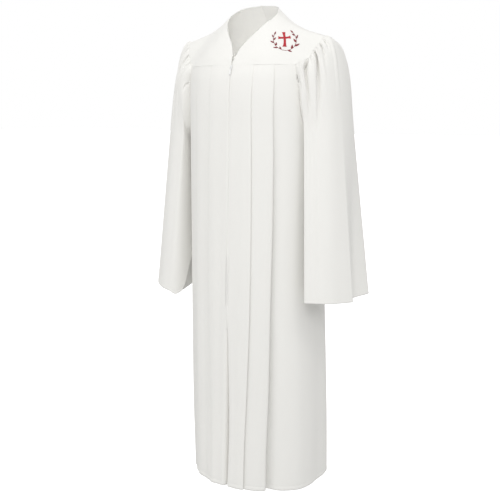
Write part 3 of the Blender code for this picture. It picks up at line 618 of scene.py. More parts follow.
def back_panel():
    """The back, from the left side seam under the arm, across the gathers and on to the right seam."""
    top = BACK_YOKE_DROP + SEAM_GAP / 2
    corner = ARMHOLE_UNDER["turn"][-1]
    side_turns = (SIDE_SEAM["turn"] + SIDE_SEAM["gap"], corner)
    side_turn, side_drop = hanging((0.5, ARMHOLE_UNDER["round"][-1]), side_turns, COLUMNS["back_side"], top)
    across = np.linspace(corner, 360 - corner, COLUMNS["back"] + 2)[1:-1]
    turn = np.broadcast_to(across, (len(ROWS), len(across)))
    drop = np.broadcast_to((top + (HEM_DROP - top) * ROWS)[:, None], turn.shape)
    turn = np.concatenate([side_turn, turn, 360 - side_turn[:, ::-1]], axis=1)
    drop = np.concatenate([side_drop, drop, side_drop[:, ::-1]], axis=1)
    sink = creased(BACK_CREASES, turn, drop) + hem_shape(HEM_DROP - drop, HEM_DEEP) + ROW_TUCK + ROW_LAP
    for gather in rows_of(BACK_GATHERS):
        fade = 1 - ease((drop - BACK_YOKE_DROP) / gather["reach"])
        away = (turn - gather["turn"]) / gather["half_width"]
        sink = sink + gather["deep"] * fade * np.exp(-(away**2))
    lines = [ARMHOLE_LINE, ARMHOLE_LINE * (-1, 1, 1)]
    return body(turn, drop, sink + groove(body(turn, drop), lines))


def yoke_piece(ways):
    """A yoke's grid with its slight waves, and dips at its seams."""
    even = np.linspace(0, YOKE_ROWS["even_to"], YOKE_ROWS["even"])
    out = np.concatenate([even, 1 - np.array(YOKE_ROWS["last"])])
    way, out = np.meshgrid(ways, out)
    points = yoke(way, out)
    sink = groove(points, [ARMHOLE_LINE, SHOULDER_LINE])
    for wave in rows_of(YOKE_WAVES):
        away = ((way - wave["way"]) / wave["wide"]) ** 2 + ((out - wave["out"]) / YOKE_WAVE_REACH) ** 2
        sink = sink + wave["deep"] * np.exp(-away)
    points = points - grid_normals(points) * sink[..., None]
    points[-1, :, 2] -= YOKE_LAP["over"] * (np.abs(ways - SHOULDER_WAY) > YOKE_LAP["shoulder"])
    return points


def ring(shape, round_, pointed):
    """The plan of a sleeve's ring: it starts at its outer side and runs through its front fold, the side
    next to the body and its back fold. The bulge falls off towards the folds as a power of the cosine."""
    angle = 2 * np.pi * round_
    front, back = np.array(shape["front"]), np.array(shape["back"])
    bulge = np.where(np.cos(angle) > 0, shape["out"], shape["in"])
    x, y = np.moveaxis((front + back) / 2 + (front - back) / 2 * np.sin(angle)[..., None], -1, 0)
    return x + bulge * np.sign(np.cos(angle)) * np.abs(np.cos(angle)) ** pointed, y


def bare_sleeve(round_, along, hand):
    """A sleeve without folds. From the armhole each line sets off as LEAVING says and bends down to the
    upper arm's ring, as a cubic Bezier curve, and then it falls straight to the cuff."""
    rings = RINGS[hand]
    seam = armhole(round_)
    seam[..., 0] += read(LEAVING, "gap", round_ % 1.0)
    x, y = ring(rings["arm"], round_, POINTED[hand])
    inner_share = (1 - np.cos(2 * np.pi * round_)) / 2
    arm = np.stack([x, y, -ARM_DROP[0] - (ARM_DROP[1] - ARM_DROP[0]) * inner_share], axis=-1)
    x, y = ring(rings["cuff"], round_, POINTED[hand])
    cuff = np.stack([x, y, -read(CUFF_DROP, hand, round_ % 1.0)], axis=-1)
    run = cuff - arm
    leaving = [read(LEAVING, column, round_ % 1.0) for column in ("out", "forward", "up")]
    second = seam + np.stack([leaving[0], -leaving[1], leaving[2]], axis=-1)
    third = arm - unit(run) * read(LEAVING, "fall", round_ % 1.0)[..., None]
    t = np.clip(along / HEAD_SHARE, 0, 1)[..., None]
    head = (1 - t) ** 3 * seam + 3 * (1 - t) ** 2 * t * second + 3 * (1 - t) * t**2 * third + t**3 * arm
    return head + run * np.clip((along - HEAD_SHARE) / (1 - HEAD_SHARE), 0, 1)[..., None]


def across_fold(round_, middle, half_width, softness):
    """One minus the square of the distance from a fold's middle, raised to its softness."""
    away = ((round_ - middle + 0.5) % 1.0 - 0.5) / half_width
    return np.clip(1 - away**2, 0, 1) ** softness


def sleeve_sink(round_, along, hand):
    """The sink of a sleeve's gathers, which start at its seam and fade, and of its long folds."""
    sink = 0.0
    for gather in rows_of(GATHERS):
        share = along / gather["reach"]
        middle = gather["start"] + (gather["end"] - gather["start"]) * np.clip(share, 0, 1)
        half_width = gather["half_width"] * (GATHER_START["half_width"] + np.clip(share, 0, 1))
        shown = GATHER_START["depth"] + (1 - GATHER_START["depth"]) * ease(along / GATHER_START["full"])
        fade = shown * (1 - ease(share))
        sink = sink + gather["deep"] * fade * across_fold(round_, middle, half_width, 2.0)
    for fold in rows_of(LONG_FOLDS[hand]):
        middle = fold["start"] + (fold["end"] - fold["start"]) * along
        depth = smooth(along, (0.0, HEAD_SHARE, 1.0), (0.0, fold["upper_arm"], fold["cuff"]))
        sink = sink + depth * across_fold(round_, middle, fold["half_width"], fold["softness"])
    return sink


def sleeve(hand):
    """A sleeve's grid, its folds, seam and hem moved in or out along the normal of the bare sleeve. Its
    columns run backwards from the top of the shoulder, so that its faces point outwards."""
    hem = 1 - np.array(SLEEVE_GRID["last"])
    down = np.linspace(0, 1, SLEEVE_GRID["rows"]) ** SLEEVE_GRID["power"]
    rows = np.concatenate([down * (hem[0] - SLEEVE_GRID["gap"]), hem])
    even = np.arange(SLEEVE_GRID["columns"]) / SLEEVE_GRID["columns"]
    round_, along = np.meshgrid(even - SLEEVE_GRID["closer"] * np.sin(2 * np.pi * even), rows)
    points = bare_sleeve(round_, along, hand)[:, ::-1]
    normal = grid_normals(points, closed=True)
    below = np.linalg.norm(points - points[-1], axis=-1)
    sink = sleeve_sink(round_, along, hand)[:, ::-1]
    sink = sink + groove(points, [ARMHOLE_LINE]) + hem_shape(below, CUFF_HEM_DEEP)
    points = points - normal * sink[..., None]
    onwards = unit(points[3] - points[0])
    tuck = [points[0] - onwards * past - normal[0] * inside for past, inside in zip(*SLEEVE_TUCK.values())]
    return np.concatenate([tuck, points])


def zip_tape():
    """The left tape, behind the front's edge, with a fine cord along its inner edge."""
    drop = np.linspace(TAPE_TOP_DROP, ZIP_END_DROP + TAPE_PAST_END, 260)[:, None]
    x = np.linspace(*TAPE_X, 14)
    cord = TAPE_CORD["high"] * np.exp(-(((x - TAPE_X[0] - TAPE_CORD["in"]) / TAPE_CORD["wide"]) ** 2))
    return body(degrees_of(x, 0.0, drop), drop, TAPE_SINK - cord)


ARMHOLE_LINE = armhole(np.arange(360) / 360)
SHOULDER_LINE = yoke(np.full(60, SHOULDER_WAY), np.linspace(0, 1, 60))


def corners(grid):
    """The four corners of each cell of a grid, in the order of a face."""
    return np.stack([grid[:-1, :-1], grid[1:, :-1], grid[1:, 1:], grid[:-1, 1:]], axis=2)


def flat_lay(points):
    """Where each point lies on the flat cloth: the run along the last row, and the run down its column."""
    across = np.linalg.norm(np.diff(points[-1], axis=0), axis=-1)
    down = np.linalg.norm(np.diff(points, axis=0), axis=-1)
    u = np.broadcast_to(np.append(0, np.cumsum(across)), points.shape[:2])
    v = np.concatenate([np.zeros((1, points.shape[1])), -np.cumsum(down, axis=0)])
    return np.stack([u, v], axis=-1)


def add_mesh(name, points, faces, material):
    """A smooth-shaded mesh object at the origin."""
    mesh = bpy.data.meshes.new(name)
    mesh.from_pydata(np.asarray(points).reshape(-1, 3).tolist(), [], faces)
    mesh.shade_smooth()
    mesh.materials.append(material)
    piece = bpy.data.objects.new(name, mesh)
    bpy.context.scene.collection.objects.link(piece)
    return piece


def add_shell(name, points, material, thick, closed=False):
    """A wall of cloth on a grid, in place of the CAD node of that name, with its flat lay as UVs."""
    index = np.arange(points.shape[0] * points.shape[1]).reshape(points.shape[:2])
    if closed:
        index = np.append(index, index[:, :1], axis=1)
    around = points.reshape(-1, 3)[index]
    piece = add_mesh(name + "_cloth", points, corners(index).reshape(-1, 4).tolist(), material)
    layer = piece.data.uv_layers.new(name="Cloth")
    layer.data.foreach_set("uv", corners(flat_lay(around)).reshape(-1))
    wall = piece.modifiers.new("Wall", "SOLIDIFY")
    wall.thickness = thick
    wall.offset = 0
    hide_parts(name)
    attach(piece, "root")
    return piece


def repeated(name, shape, faces, places, material, body_name="root"):
    """Copies of a small shape joined in one mesh. A place is a middle and three axes, which turn and scale
    the shape."""
    points = places[:, :1] + np.einsum("pk,nkx->npx", shape, places[:, 1:])
    offsets = np.arange(len(places)) * len(shape)
    joined = [[corner + offset for corner in face] for offset in offsets.tolist() for face in faces]
    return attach(add_mesh(name, points, joined, material), body_name)


def tube(radii, stations, lifts, sides):
    """A closed tube along X: a ring of the given radius at each station, lifted along Z, with flat ends."""
    angle = 2 * np.pi * np.arange(sides) / sides
    points = [
        np.stack([np.full(sides, at), radius * np.cos(angle), lift + radius * np.sin(angle)], axis=-1)
        for radius, at, lift in zip(radii, stations, lifts)
    ]
    last = (len(radii) - 1) * sides
    faces = [
        [ring_ + side, ring_ + (side + 1) % sides, ring_ + sides + (side + 1) % sides, ring_ + sides + side]
        for ring_ in range(0, last, sides)
        for side in range(sides)
    ]
    faces += [list(range(sides))[::-1], list(range(last, last + sides))]
    return np.concatenate(points), faces


def inset_line(points, side, distance, closed=False):
    """A line on a grid at a distance in from its bottom or its left side, with the normals there: on each
    line that leaves that side, the place where its run reaches the distance."""
    normals = grid_normals(points, closed)
    if side == "bottom":
        points, normals = points[::-1], normals[::-1]
    else:
        points, normals = np.swapaxes(points, 0, 1), np.swapaxes(normals, 0, 1)
    steps = np.linalg.norm(np.diff(points, axis=0), axis=-1)
    run = np.concatenate([np.zeros((1, points.shape[1])), np.cumsum(steps, axis=0)])
    after = np.argmax(run >= distance, axis=0)
    column = np.arange(points.shape[1])
    before = after - 1
    share = ((distance - run[before, column]) / (run[after, column] - run[before, column]))[:, None]
    line, out = (
        grid[before, column] * (1 - share) + grid[after, column] * share for grid in (points, normals)
    )
    if closed:
        line, out = np.append(line, line[:1], axis=0), np.append(out, out[:1], axis=0)
    return line, unit(out)


def places_along(line, out, pitch, lift):
    """Evenly spaced places on a line: each has its middle, and axes along the line, sideways and out."""
    run = np.append(0, np.cumsum(np.linalg.norm(np.diff(line, axis=0), axis=-1)))
    at = np.arange(pitch / 2, run[-1], pitch)
    middle, normal = (np.stack([np.interp(at, run, grid[:, axis]) for axis in range(3)], -1)
                      for grid in (line, out))
    ahead = np.stack([np.interp(at + pitch / 4, run, line[:, axis]) for axis in range(3)], -1)
    behind = np.stack([np.interp(at - pitch / 4, run, line[:, axis]) for axis in range(3)], -1)
    along, normal = unit(ahead - behind), unit(normal)
    return np.stack([middle + normal * lift, along, np.cross(normal, along), normal], axis=1)


def add_stitches(name, lines, surface=CLOTH / 2):
    """A row of thread stitches on each line: arched tubes that dive into the cloth at both ends."""
    sizes = {"radii": STITCH["thick"], "stations": STITCH["long"] / 2, "lifts": STITCH["thick"]}
    shape, faces = tube(
        *([share * sizes[column] for share in shares] for column, shares in STITCH_SHAPE.items()), sides=5
    )
    places = [places_along(line, out, STITCH["pitch"], surface) for line, out in lines]
    piece = repeated(name, shape, faces, np.concatenate(places), thread_white)
    return piece


def zip_teeth():
    """The coil's teeth: short bars from each tape's edge past the middle line, left and right in turn,
    each with a small head."""
    shape, faces = tube(TOOTH["radii"], TOOTH["stations"], TOOTH["lifts"], 6)
    count = int((ZIP_END_DROP - SLIDER_DROP) / TOOTH["pitch"])
    drop = SLIDER_DROP + TOOTH["pitch"] * (np.arange(2 * count) / 2 + 0.25)
    side = np.where(np.arange(2 * count) % 2, 1.0, -1.0)
    middle = body(degrees_of(TOOTH["x"] * side, 0.0, drop), drop, TOOTH["sink"])
    middle[:, 0] = TOOTH["x"] * side
    down = unit(body(0.0, drop + 0.001) - body(0.0, drop - 0.001))
    across = np.stack([-side, 0 * side, 0 * side], axis=-1)
    places = np.stack([middle, across, down, np.cross(across, down)], axis=1)
    return repeated("zip_teeth", shape, faces, places, tape_white)


def zip_end():
    """The bottom stop: a bar tack of close upright stitches across the zip's foot."""
    step = np.linspace(-END_TACK["half_width"], END_TACK["half_width"], END_TACK["stitches"])
    middle = body(degrees_of(step, 0.0, ZIP_END_DROP), ZIP_END_DROP, END_TACK["sink"])
    along = np.broadcast_to((0.0, 0.0, 1.0), middle.shape)
    sideways = np.broadcast_to((1.0, 0.0, 0.0), middle.shape)
    shape, faces = tube(END_TACK["radii"], END_TACK["stations"], END_TACK["lifts"], 6)
    places = np.stack([middle, along, sideways, np.cross(along, sideways)], axis=1)
    return repeated("zip_end_tack", shape, faces, places, thread_white)


def slider_matrix():
    """The slider's middle on the cloth, as a matrix: X across, Y up along the front, and Z away from it."""
    above, middle, below = body(0.0, SLIDER_DROP + np.array((-0.004, 0.0, 0.004)))
    along = unit(above - below)
    across = np.array((1.0, 0.0, 0.0))
    turned = Matrix((across, along, np.cross(across, along))).transposed().to_4x4()
    return Matrix.Translation(middle) @ turned


def moved(matrix, points):
    """Points carried by a matrix."""
    array = np.array(matrix)
    return np.asarray(points) @ array[:3, :3].T + array[:3, 3]


def sweep(sections, closed_path=False):
    """Faces of a tube whose sections, each a closed outline, lie along a path: capped unless it closes."""
    count, sides = sections.shape[:2]
    faces = []
    for section in range(count if closed_path else count - 1):
        here, there = section * sides, (section + 1) % count * sides
        faces += [[here + side, here + (side + 1) % sides, there + (side + 1) % sides, there + side]
                  for side in range(sides)]
    if not closed_path:
        faces += [list(range(sides))[::-1], list(range((count - 1) * sides, count * sides))]
    return faces


def rounded_outline(half_across, top, bottom, corner, count=8):
    """A closed outline of a rectangle with round corners, each a quarter circle of points."""
    quarter = np.linspace(0, np.pi / 2, count)
    high, low = top - corner, bottom + corner
    middles = ((1, high, 0), (-1, high, 1), (-1, low, 2), (1, low, 3))
    points = [
        np.stack([side * (half_across - corner) + corner * np.cos(quarter + turn * np.pi / 2),
                  middle + corner * np.sin(quarter + turn * np.pi / 2)], axis=-1)
        for side, middle, turn in middles
    ]
    return np.concatenate(points)


def scaled(outline, share):
    """An outline made larger or smaller round its middle."""
    inner = outline.mean(axis=0)
    return inner + (outline - inner) * share


def raised(outline, out):
    """A flat outline as points that all lie at one distance out."""
    return np.concatenate([outline, np.full((len(outline), 1), out)], axis=1)


def plate_sections(outline, thick, middle):
    """A flat plate as sections from its back to its front, drawn in at both faces for a rounded edge."""
    drawn = 1 - PLATE_EDGE / np.abs(outline - outline.mean(axis=0)).max()
    half = thick / 2
    section = ((drawn, -half), (1.0, -half + PLATE_EDGE), (1.0, half - PLATE_EDGE), (drawn, half))
    return np.stack([raised(scaled(outline, share), middle + out) for share, out in section])


def block_outline(size):
    """The rounded outline of a plate or block with its middle at the origin."""
    return rounded_outline(size["across"] / 2, size["along"] / 2, -size["along"] / 2, size["corner"])


def add_zip_slider():
    """The slider: two plates with narrower lower ends, joined by a neck, and an arch on the front plate."""
    front_out = CAD_CLOTH / 2 + PLATE_CLEAR + PLATE["thick"] / 2
    back_out = -TAPE_SINK - CAD_TAPE / 2 - PLATE_CLEAR - PLATE["thick"] / 2
    outline = block_outline(PLATE)
    outline[:, 0] *= 1 - PLATE["narrower"] * ease(PLATE["narrows_from"] - outline[:, 1] / PLATE["along"])
    leg = (ARCH["along"] - ARCH["bar"]) / 2
    angle = np.linspace(0, np.pi, 17)
    foot = front_out + PLATE["thick"] / 2 - ARCH["in"]
    rise = front_out + ARCH["high"] - ARCH["bar"] / 2 - foot
    path = np.stack([leg * np.cos(angle), foot + rise * np.sin(angle) ** ARCH["fullness"]], axis=-1)
    away = np.stack([np.gradient(path[:, 1]), -np.gradient(path[:, 0])], axis=-1)
    bar = rounded_outline(ARCH["across"] / 2, ARCH["bar"] / 2, -ARCH["bar"] / 2, ARCH["corner"], 4)
    along_out = path[:, None] + unit(away)[:, None] * bar[None, :, 1:]
    arch = np.concatenate([np.broadcast_to(bar[:, :1], (len(angle), len(bar), 1)), along_out], axis=-1)
    pieces = [
        plate_sections(outline, PLATE["thick"], front_out),
        plate_sections(outline, PLATE["thick"], back_out),
        plate_sections(block_outline(NECK_BLOCK), front_out - back_out, (front_out + back_out) / 2),
        arch,
    ]
    points, faces = [], []
    for sections in pieces:
        start = sum(len(group) for group in points)
        faces += [[corner + start for corner in face] for face in sweep(sections)]
        points.append(sections.reshape(-1, 3))
    piece = add_mesh("zip_slider_body", moved(slider_place, np.concatenate(points)), faces, enamel)
    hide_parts("zip_slider")
    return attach(piece, "root")


def add_zip_pull():
    """The pull tab: a flat bar that widens downwards, with round edges, a slot at its top for the slider's
    arch and a thumb's dip with a rim near its foot."""
    half_bar = TAB["end_bar"] / 2
    count = 9
    outer = rounded_outline(TAB["across"] / 2, half_bar, half_bar - TAB["long"], TAB["corner"], count)
    outer[:, 0] *= 1 - TAB["narrower"] * ease((outer[:, 1] + TAB["long"]) / TAB["long"])
    hole_top, hole_bottom = -half_bar, -half_bar - TAB_HOLE["long"]
    hole = rounded_outline(TAB_HOLE["across"] / 2, hole_top, hole_bottom, TAB_HOLE["corner"], count)
    half, edge = TAB["thick"] / 2, TAB["edge"]
    outer_in = scaled(outer, 1 - edge / (TAB["across"] / 2))
    hole_out = scaled(hole, 1 + edge / (TAB_HOLE["across"] / 2))
    section = ((hole, -half + edge), (hole_out, -half), (outer_in, -half), (outer, -half + edge),
               (outer, half - edge), (outer_in, half), (hole_out, half), (hole, half - edge))
    sections = np.stack([raised(outline, out) for outline, out in section], axis=1)
    half_rim = TAB_RIM["across"] / 2
    rim = rounded_outline(half_rim, TAB_RIM["top"], TAB_RIM["bottom"], TAB_RIM["corner"], count)
    rims = np.stack([
        raised(scaled(rim, corner["share"]), half + corner["high"]) for corner in rows_of(TAB_RIM_SECTION)
    ], axis=1)
    points = np.concatenate([sections.reshape(-1, 3), rims.reshape(-1, 3)])
    offset = sections.shape[0] * sections.shape[1]
    faces = sweep(sections, closed_path=True)
    faces += [[corner + offset for corner in face] for face in sweep(rims, closed_path=True)]
    plate_front = CAD_CLOTH / 2 + PLATE_CLEAR + PLATE["thick"]
    axis_out = plate_front + (ARCH["high"] - PLATE["thick"] / 2 - ARCH["bar"]) / 2
    lean = Matrix.Rotation(np.radians(TAB_LIE), 4, "X")
    place = slider_place @ Matrix.Translation((0, 0, axis_out)) @ lean
    piece = add_mesh("zip_pull_tab", moved(place, points), faces, enamel)
    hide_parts("zip_pull")
    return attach(piece, "zip_pull")


# Embroidery. Its drawing is flat: u runs to the wearer's left and v up, from its middle on the yoke. The
# crown of its satin stitch is lower where a stroke is narrower than "full_from".
EMBROIDERY_PLACE = {"way": 0.430, "out": 0.50}
SATIN = {"high": 0.0009, "full_from": 0.0016, "sunk": 0.0001, "pad": 0.0003, "across": 9}
CROSS_LIMBS = {
    "from_u": (0.000, -0.017),
    "from_v": (-0.024, 0.006),
    "to_u": (0.000, 0.017),
    "to_v": (0.024, 0.006),
    "half_width": (0.0030, 0.0028),
    "flare": (0.0026, 0.0024),
}
# The sprigs' stems are arcs of an ellipse, in degrees from the wearer's left upwards, thicker at the foot
SPRIG = {"half_wide": 0.031, "half_high": 0.037, "middle_v": 0.001, "from": -92, "to": 28,
         "half_width": 0.0005, "foot": 0.0003}
LEAVES = {
    "stem": (0.16, 0.30, 0.44, 0.58, 0.72, 0.86, 1.00),
    "side": (-1, 1, -1, 1, -1, 1, 0),
    "long": (0.011, 0.013, 0.013, 0.013, 0.012, 0.011, 0.012),
    "half_width": (0.0021, 0.0024, 0.0024, 0.0023, 0.0022, 0.0020, 0.0020),
    "turned": (48, 44, 42, 40, 38, 34, 0),
}


def on_yoke(drawing, high):
    """A drawing carried onto the wearer's left yoke: its u and v become way and out through the yoke's own
    slopes at the embroidery's middle, and high is the distance from the cloth along its normal."""
    place, step = EMBROIDERY_PLACE, 0.002
    way, out = np.array(place["way"]), np.array(place["out"])
    by_way = (yoke(way + step, out) - yoke(way - step, out)) / (2 * step)
    by_out = (yoke(way, out + step) - yoke(way, out - step)) / (2 * step)
    normal = unit(np.cross(by_out, by_way))
    up = unit(np.array((0.0, 0.0, 1.0)) - normal * normal[2])
    left = np.cross(up, normal)
    slopes = np.array([[by_way @ left, by_out @ left], [by_way @ up, by_out @ up]])
    moved_by = drawing @ np.linalg.inv(slopes).T
    ways, outs = way + moved_by[..., 0], out + moved_by[..., 1]
    points = yoke(ways, outs)
    across = yoke(ways + step, outs) - yoke(ways - step, outs)
    down = yoke(ways, outs + step) - yoke(ways, outs - step)
    return points + unit(np.cross(down, across)) * high[..., None]


def satin(name, strokes, material):
    """Satin stitch. Each stroke is a middle line of drawn points with a half width at each: the thread
    crosses it from side to side over a padded crown, the square root of one minus the share squared."""
    points, faces, laid, start = [], [], [], 0
    share = np.sin(np.linspace(-np.pi / 2, np.pi / 2, SATIN["across"]))
    for line, half_width in strokes:
        ahead = unit(np.gradient(line, axis=0))
        aside = np.stack([-ahead[:, 1], ahead[:, 0]], axis=-1)
        drawing = line[:, None] + aside[:, None] * (half_width[:, None] * share)[..., None]
        full = np.minimum(half_width / SATIN["full_from"], 1)[:, None]
        crown = SATIN["high"] * np.sqrt(np.clip(1 - share**2, 0, 1)) * full
        points.append(on_yoke(drawing, YOKE_CLOTH / 2 - SATIN["sunk"] + crown).reshape(-1, 3))
        index = start + np.arange(crown.size).reshape(crown.shape)
        faces += corners(index).reshape(-1, 4).tolist()
        run = np.append(0, np.cumsum(np.linalg.norm(np.diff(line, axis=0), axis=-1)))
        lay = np.stack(np.broadcast_arrays(run[:, None], half_width[:, None] * share), axis=-1)
        laid.append(corners(lay).reshape(-1, 2))
        start += crown.size
    piece = add_mesh(name, np.concatenate(points), faces, material)
    layer = piece.data.uv_layers.new(name="Cloth")
    layer.data.foreach_set("uv", np.concatenate(laid).reshape(-1))
    pad = piece.modifiers.new("Pad", "SOLIDIFY")
    pad.thickness = SATIN["pad"]
    pad.offset = -1
    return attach(piece, "root")


def add_embroidery():
    """A cross with flared limbs, held between two curved sprigs of leaves."""
    limbs = []
    for limb in rows_of(CROSS_LIMBS):
        share = np.linspace(0, 1, 46)
        start, end = ((limb[end_ + "_u"], limb[end_ + "_v"]) for end_ in ("from", "to"))
        line = np.array(start) * (1 - share[:, None]) + np.array(end) * share[:, None]
        flare = limb["flare"] * np.abs(2 * share - 1) ** 4
        limbs.append((line, limb["half_width"] + flare))
    satin("embroidery_cross", limbs, red_satin)
    strokes = []
    for hand in (-1, 1):
        up = np.linspace(0, 1, 60)
        angle = np.radians(np.linspace(SPRIG["from"], SPRIG["to"], len(up)))
        stem_u = hand * SPRIG["half_wide"] * np.cos(angle)
        stem = np.stack([stem_u, SPRIG["middle_v"] + SPRIG["half_high"] * np.sin(angle)], axis=-1)
        strokes.append((stem, SPRIG["half_width"] + SPRIG["foot"] * (1 - up)))
        for leaf in rows_of(LEAVES):
            row = min(int(leaf["stem"] * (len(up) - 1)), len(up) - 2)
            ahead = unit(stem[row + 1] - stem[row])
            turned = np.radians(leaf["turned"]) * leaf["side"]
            grows = np.array((ahead[0] * np.cos(turned) - ahead[1] * np.sin(turned),
                              ahead[0] * np.sin(turned) + ahead[1] * np.cos(turned)))
            share = np.linspace(0, 1, 16)
            line = stem[row] + grows * (leaf["long"] * share)[:, None]
            strokes.append((line, 0.0002 + leaf["half_width"] * np.sin(np.pi * share**0.8)))
    satin("embroidery_sprigs", strokes, dark_red_satin)


# Materials


def new_group(name, inputs, outputs):
    """A shader node group with named inputs, each with its default, and named outputs."""
    group = bpy.data.node_groups.new(name, "ShaderNodeTree")
    for socket, (kind, value) in inputs.items():
        made = group.interface.new_socket(socket, in_out="INPUT", socket_type="NodeSocket" + kind)
        if value is not None:
            made.default_value = value
    for socket, kind in outputs.items():
        group.interface.new_socket(socket, in_out="OUTPUT", socket_type="NodeSocket" + kind)
    return group, group.nodes.new("NodeGroupInput").outputs, group.nodes.new("NodeGroupOutput").inputs


def put(tree, kind, inputs=(), **settings):
    """A node with its settings, its input sockets linked to outputs or set to values."""
    node = tree.nodes.new("ShaderNode" + kind)
    for setting, value in settings.items():
        setattr(node, setting, value)
    for socket, value in dict(inputs).items():
        if isinstance(value, bpy.types.NodeSocket):
            tree.links.new(value, node.inputs[socket])
        else:
            node.inputs[socket].default_value = value
    return node


def math(tree, operation, first, second=0.0):
    """The output of a math node on two sockets or numbers."""
    return put(tree, "Math", {0: first, 1: second}, operation=operation).outputs[0]


def weave_group():
    """A plain weave: threads over and under in turn, from two crossed sines of the cloth's lay, with some
    threads a little thicker than others."""
    inputs = {"Lay": ("Vector", None), "Pitch": ("Float", 0.0005), "Slub": ("Float", 0.3)}
    group, given, result = new_group("Woven threads", inputs, {"Height": "Float", "Shade": "Float"})
    split = put(group, "SeparateXYZ", {0: given["Lay"]})
    turns = math(group, "DIVIDE", 2 * np.pi, given["Pitch"])
    warp = math(group, "SINE", math(group, "MULTIPLY", split.outputs["X"], turns))
    weft = math(group, "SINE", math(group, "MULTIPLY", split.outputs["Y"], turns))
    crossed = math(group, "MULTIPLY", warp, weft)
    slubs = []
    for scale in ((900.0, 14.0, 1.0), (14.0, 900.0, 1.0)):
        drawn_out = put(group, "Mapping", {"Vector": given["Lay"], "Scale": scale})
        slub = put(group, "TexNoise", {"Vector": drawn_out.outputs[0], "Scale": 1.0, "Detail": 2.0})
        slubs.append(slub.outputs[0])
    crossed_slubs = math(group, "SUBTRACT", math(group, "ADD", *slubs), 1.0)
    uneven = math(group, "MULTIPLY", crossed_slubs, given["Slub"])
    group.links.new(math(group, "ADD", crossed, math(group, "MULTIPLY", uneven, 4.0)), result["Height"])
    group.links.new(math(group, "ADD", uneven, 0.5), result["Shade"])
    return group


def cloudy_group():
    """Soft unevenness from the piece's own place: wide clouds in the dye and small dips in the cloth."""
    inputs = {"Place": ("Vector", None), "Cloud Scale": ("Float", 9.0), "Dip Scale": ("Float", 38.0)}
    group, given, result = new_group("Soft unevenness", inputs, {"Cloud": "Float", "Dips": "Float"})
    stretched = put(group, "Mapping", {"Vector": given["Place"], "Scale": (1.0, 1.0, 0.35)})
    for output, scale, detail in (("Cloud", "Cloud Scale", 3.0), ("Dips", "Dip Scale", 2.0)):
        values = {"Vector": stretched.outputs[0], "Scale": given[scale], "Detail": detail}
        group.links.new(put(group, "TexNoise", values).outputs[0], result[output])
    return group


def thread_group():
    """Rows of thread that lie side by side: a sine across their pitch, uneven from thread to thread."""
    inputs = {"Lay": ("Vector", None), "Pitch": ("Float", 0.0004)}
    group, given, result = new_group("Laid threads", inputs, {"Height": "Float", "Shade": "Float"})
    split = put(group, "SeparateXYZ", {0: given["Lay"]})
    rows = math(group, "DIVIDE", split.outputs["X"], given["Pitch"])
    wave = math(group, "SINE", math(group, "MULTIPLY", rows, 2 * np.pi))
    row = put(group, "TexWhiteNoise", {"W": math(group, "FLOOR", rows)}, noise_dimensions="1D")
    thicker = math(group, "MULTIPLY", row.outputs[0], 0.6)
    group.links.new(math(group, "ADD", wave, thicker), result["Height"])
    group.links.new(row.outputs[0], result["Shade"])
    return group


def new_material(name, colour, roughness, **sockets):
    """A Principled material's tree and shader, with its constant sockets set."""
    material = bpy.data.materials.new(name)
    material.use_nodes = True
    shader = material.node_tree.nodes["Principled BSDF"]
    shader.inputs["Base Color"].default_value = (*colour, 1)
    shader.inputs["Roughness"].default_value = roughness
    for socket, value in sockets.items():
        shader.inputs[socket.replace("_", " ")].default_value = value
    return material, material.node_tree, shader


def tint(tree, shader, colour, darker, share):
    """Links the shader's base colour to a mix from the colour to a darker one by a changing share."""
    mixed = put(tree, "Mix", {"A": (*colour, 1), "B": (*darker, 1)}, data_type="RGBA")
    tree.links.new(share, mixed.inputs[0])
    tree.links.new(mixed.outputs[2], shader.inputs["Base Color"])


def bump(tree, shader, height, distance, strength=1.0, below=None):
    """Links a bump of a height to the shader's normal, on top of another bump if there is one."""
    node = put(tree, "Bump", {"Height": height, "Distance": distance, "Strength": strength})
    if below is not None:
        tree.links.new(below.outputs[0], node.inputs["Normal"])
    tree.links.new(node.outputs[0], shader.inputs["Normal"])
    return node


def woven_material(name, colour, pitch, weave_deep, slub, dip_deep):
    """White woven cloth: matt, with a faint sheen, its weave and slubs, and soft dips."""
    material, tree, shader = new_material(name, colour, 0.82, Sheen_Weight=0.12, Sheen_Roughness=0.45,
                                          Specular_IOR_Level=0.25)
    lay = put(tree, "UVMap", uv_map="Cloth")
    weave = put(tree, "Group", node_tree=weave_nodes)
    tree.links.new(lay.outputs[0], weave.inputs["Lay"])
    weave.inputs["Pitch"].default_value = pitch
    weave.inputs["Slub"].default_value = slub
    place = put(tree, "TexCoord")
    cloudy = put(tree, "Group", {"Place": place.outputs["Object"]}, node_tree=cloudy_nodes)
    shade = math(tree, "ADD", math(tree, "MULTIPLY", weave.outputs["Shade"], 0.5),
                 math(tree, "MULTIPLY", cloudy.outputs["Cloud"], 0.5))
    tint(tree, shader, colour, tuple(WHITE_SHADE * part for part in colour), shade)
    dips = bump(tree, shader, cloudy.outputs["Dips"], dip_deep, 0.6)
    bump(tree, shader, weave.outputs["Height"], weave_deep, 0.8, dips)
    return material


def satin_material(name, colour, darker):
    """Embroidery thread: glossy along its crown, with each thread's own shade."""
    material, tree, shader = new_material(name, colour, 0.38, Sheen_Weight=0.15, Specular_IOR_Level=0.5)
    lay = put(tree, "UVMap", uv_map="Cloth")
    threads = put(tree, "Group", {"Lay": lay.outputs[0]}, node_tree=thread_nodes)
    tint(tree, shader, colour, darker, threads.outputs["Shade"])
    bump(tree, shader, threads.outputs["Height"], 0.00012, 0.8)
    return material


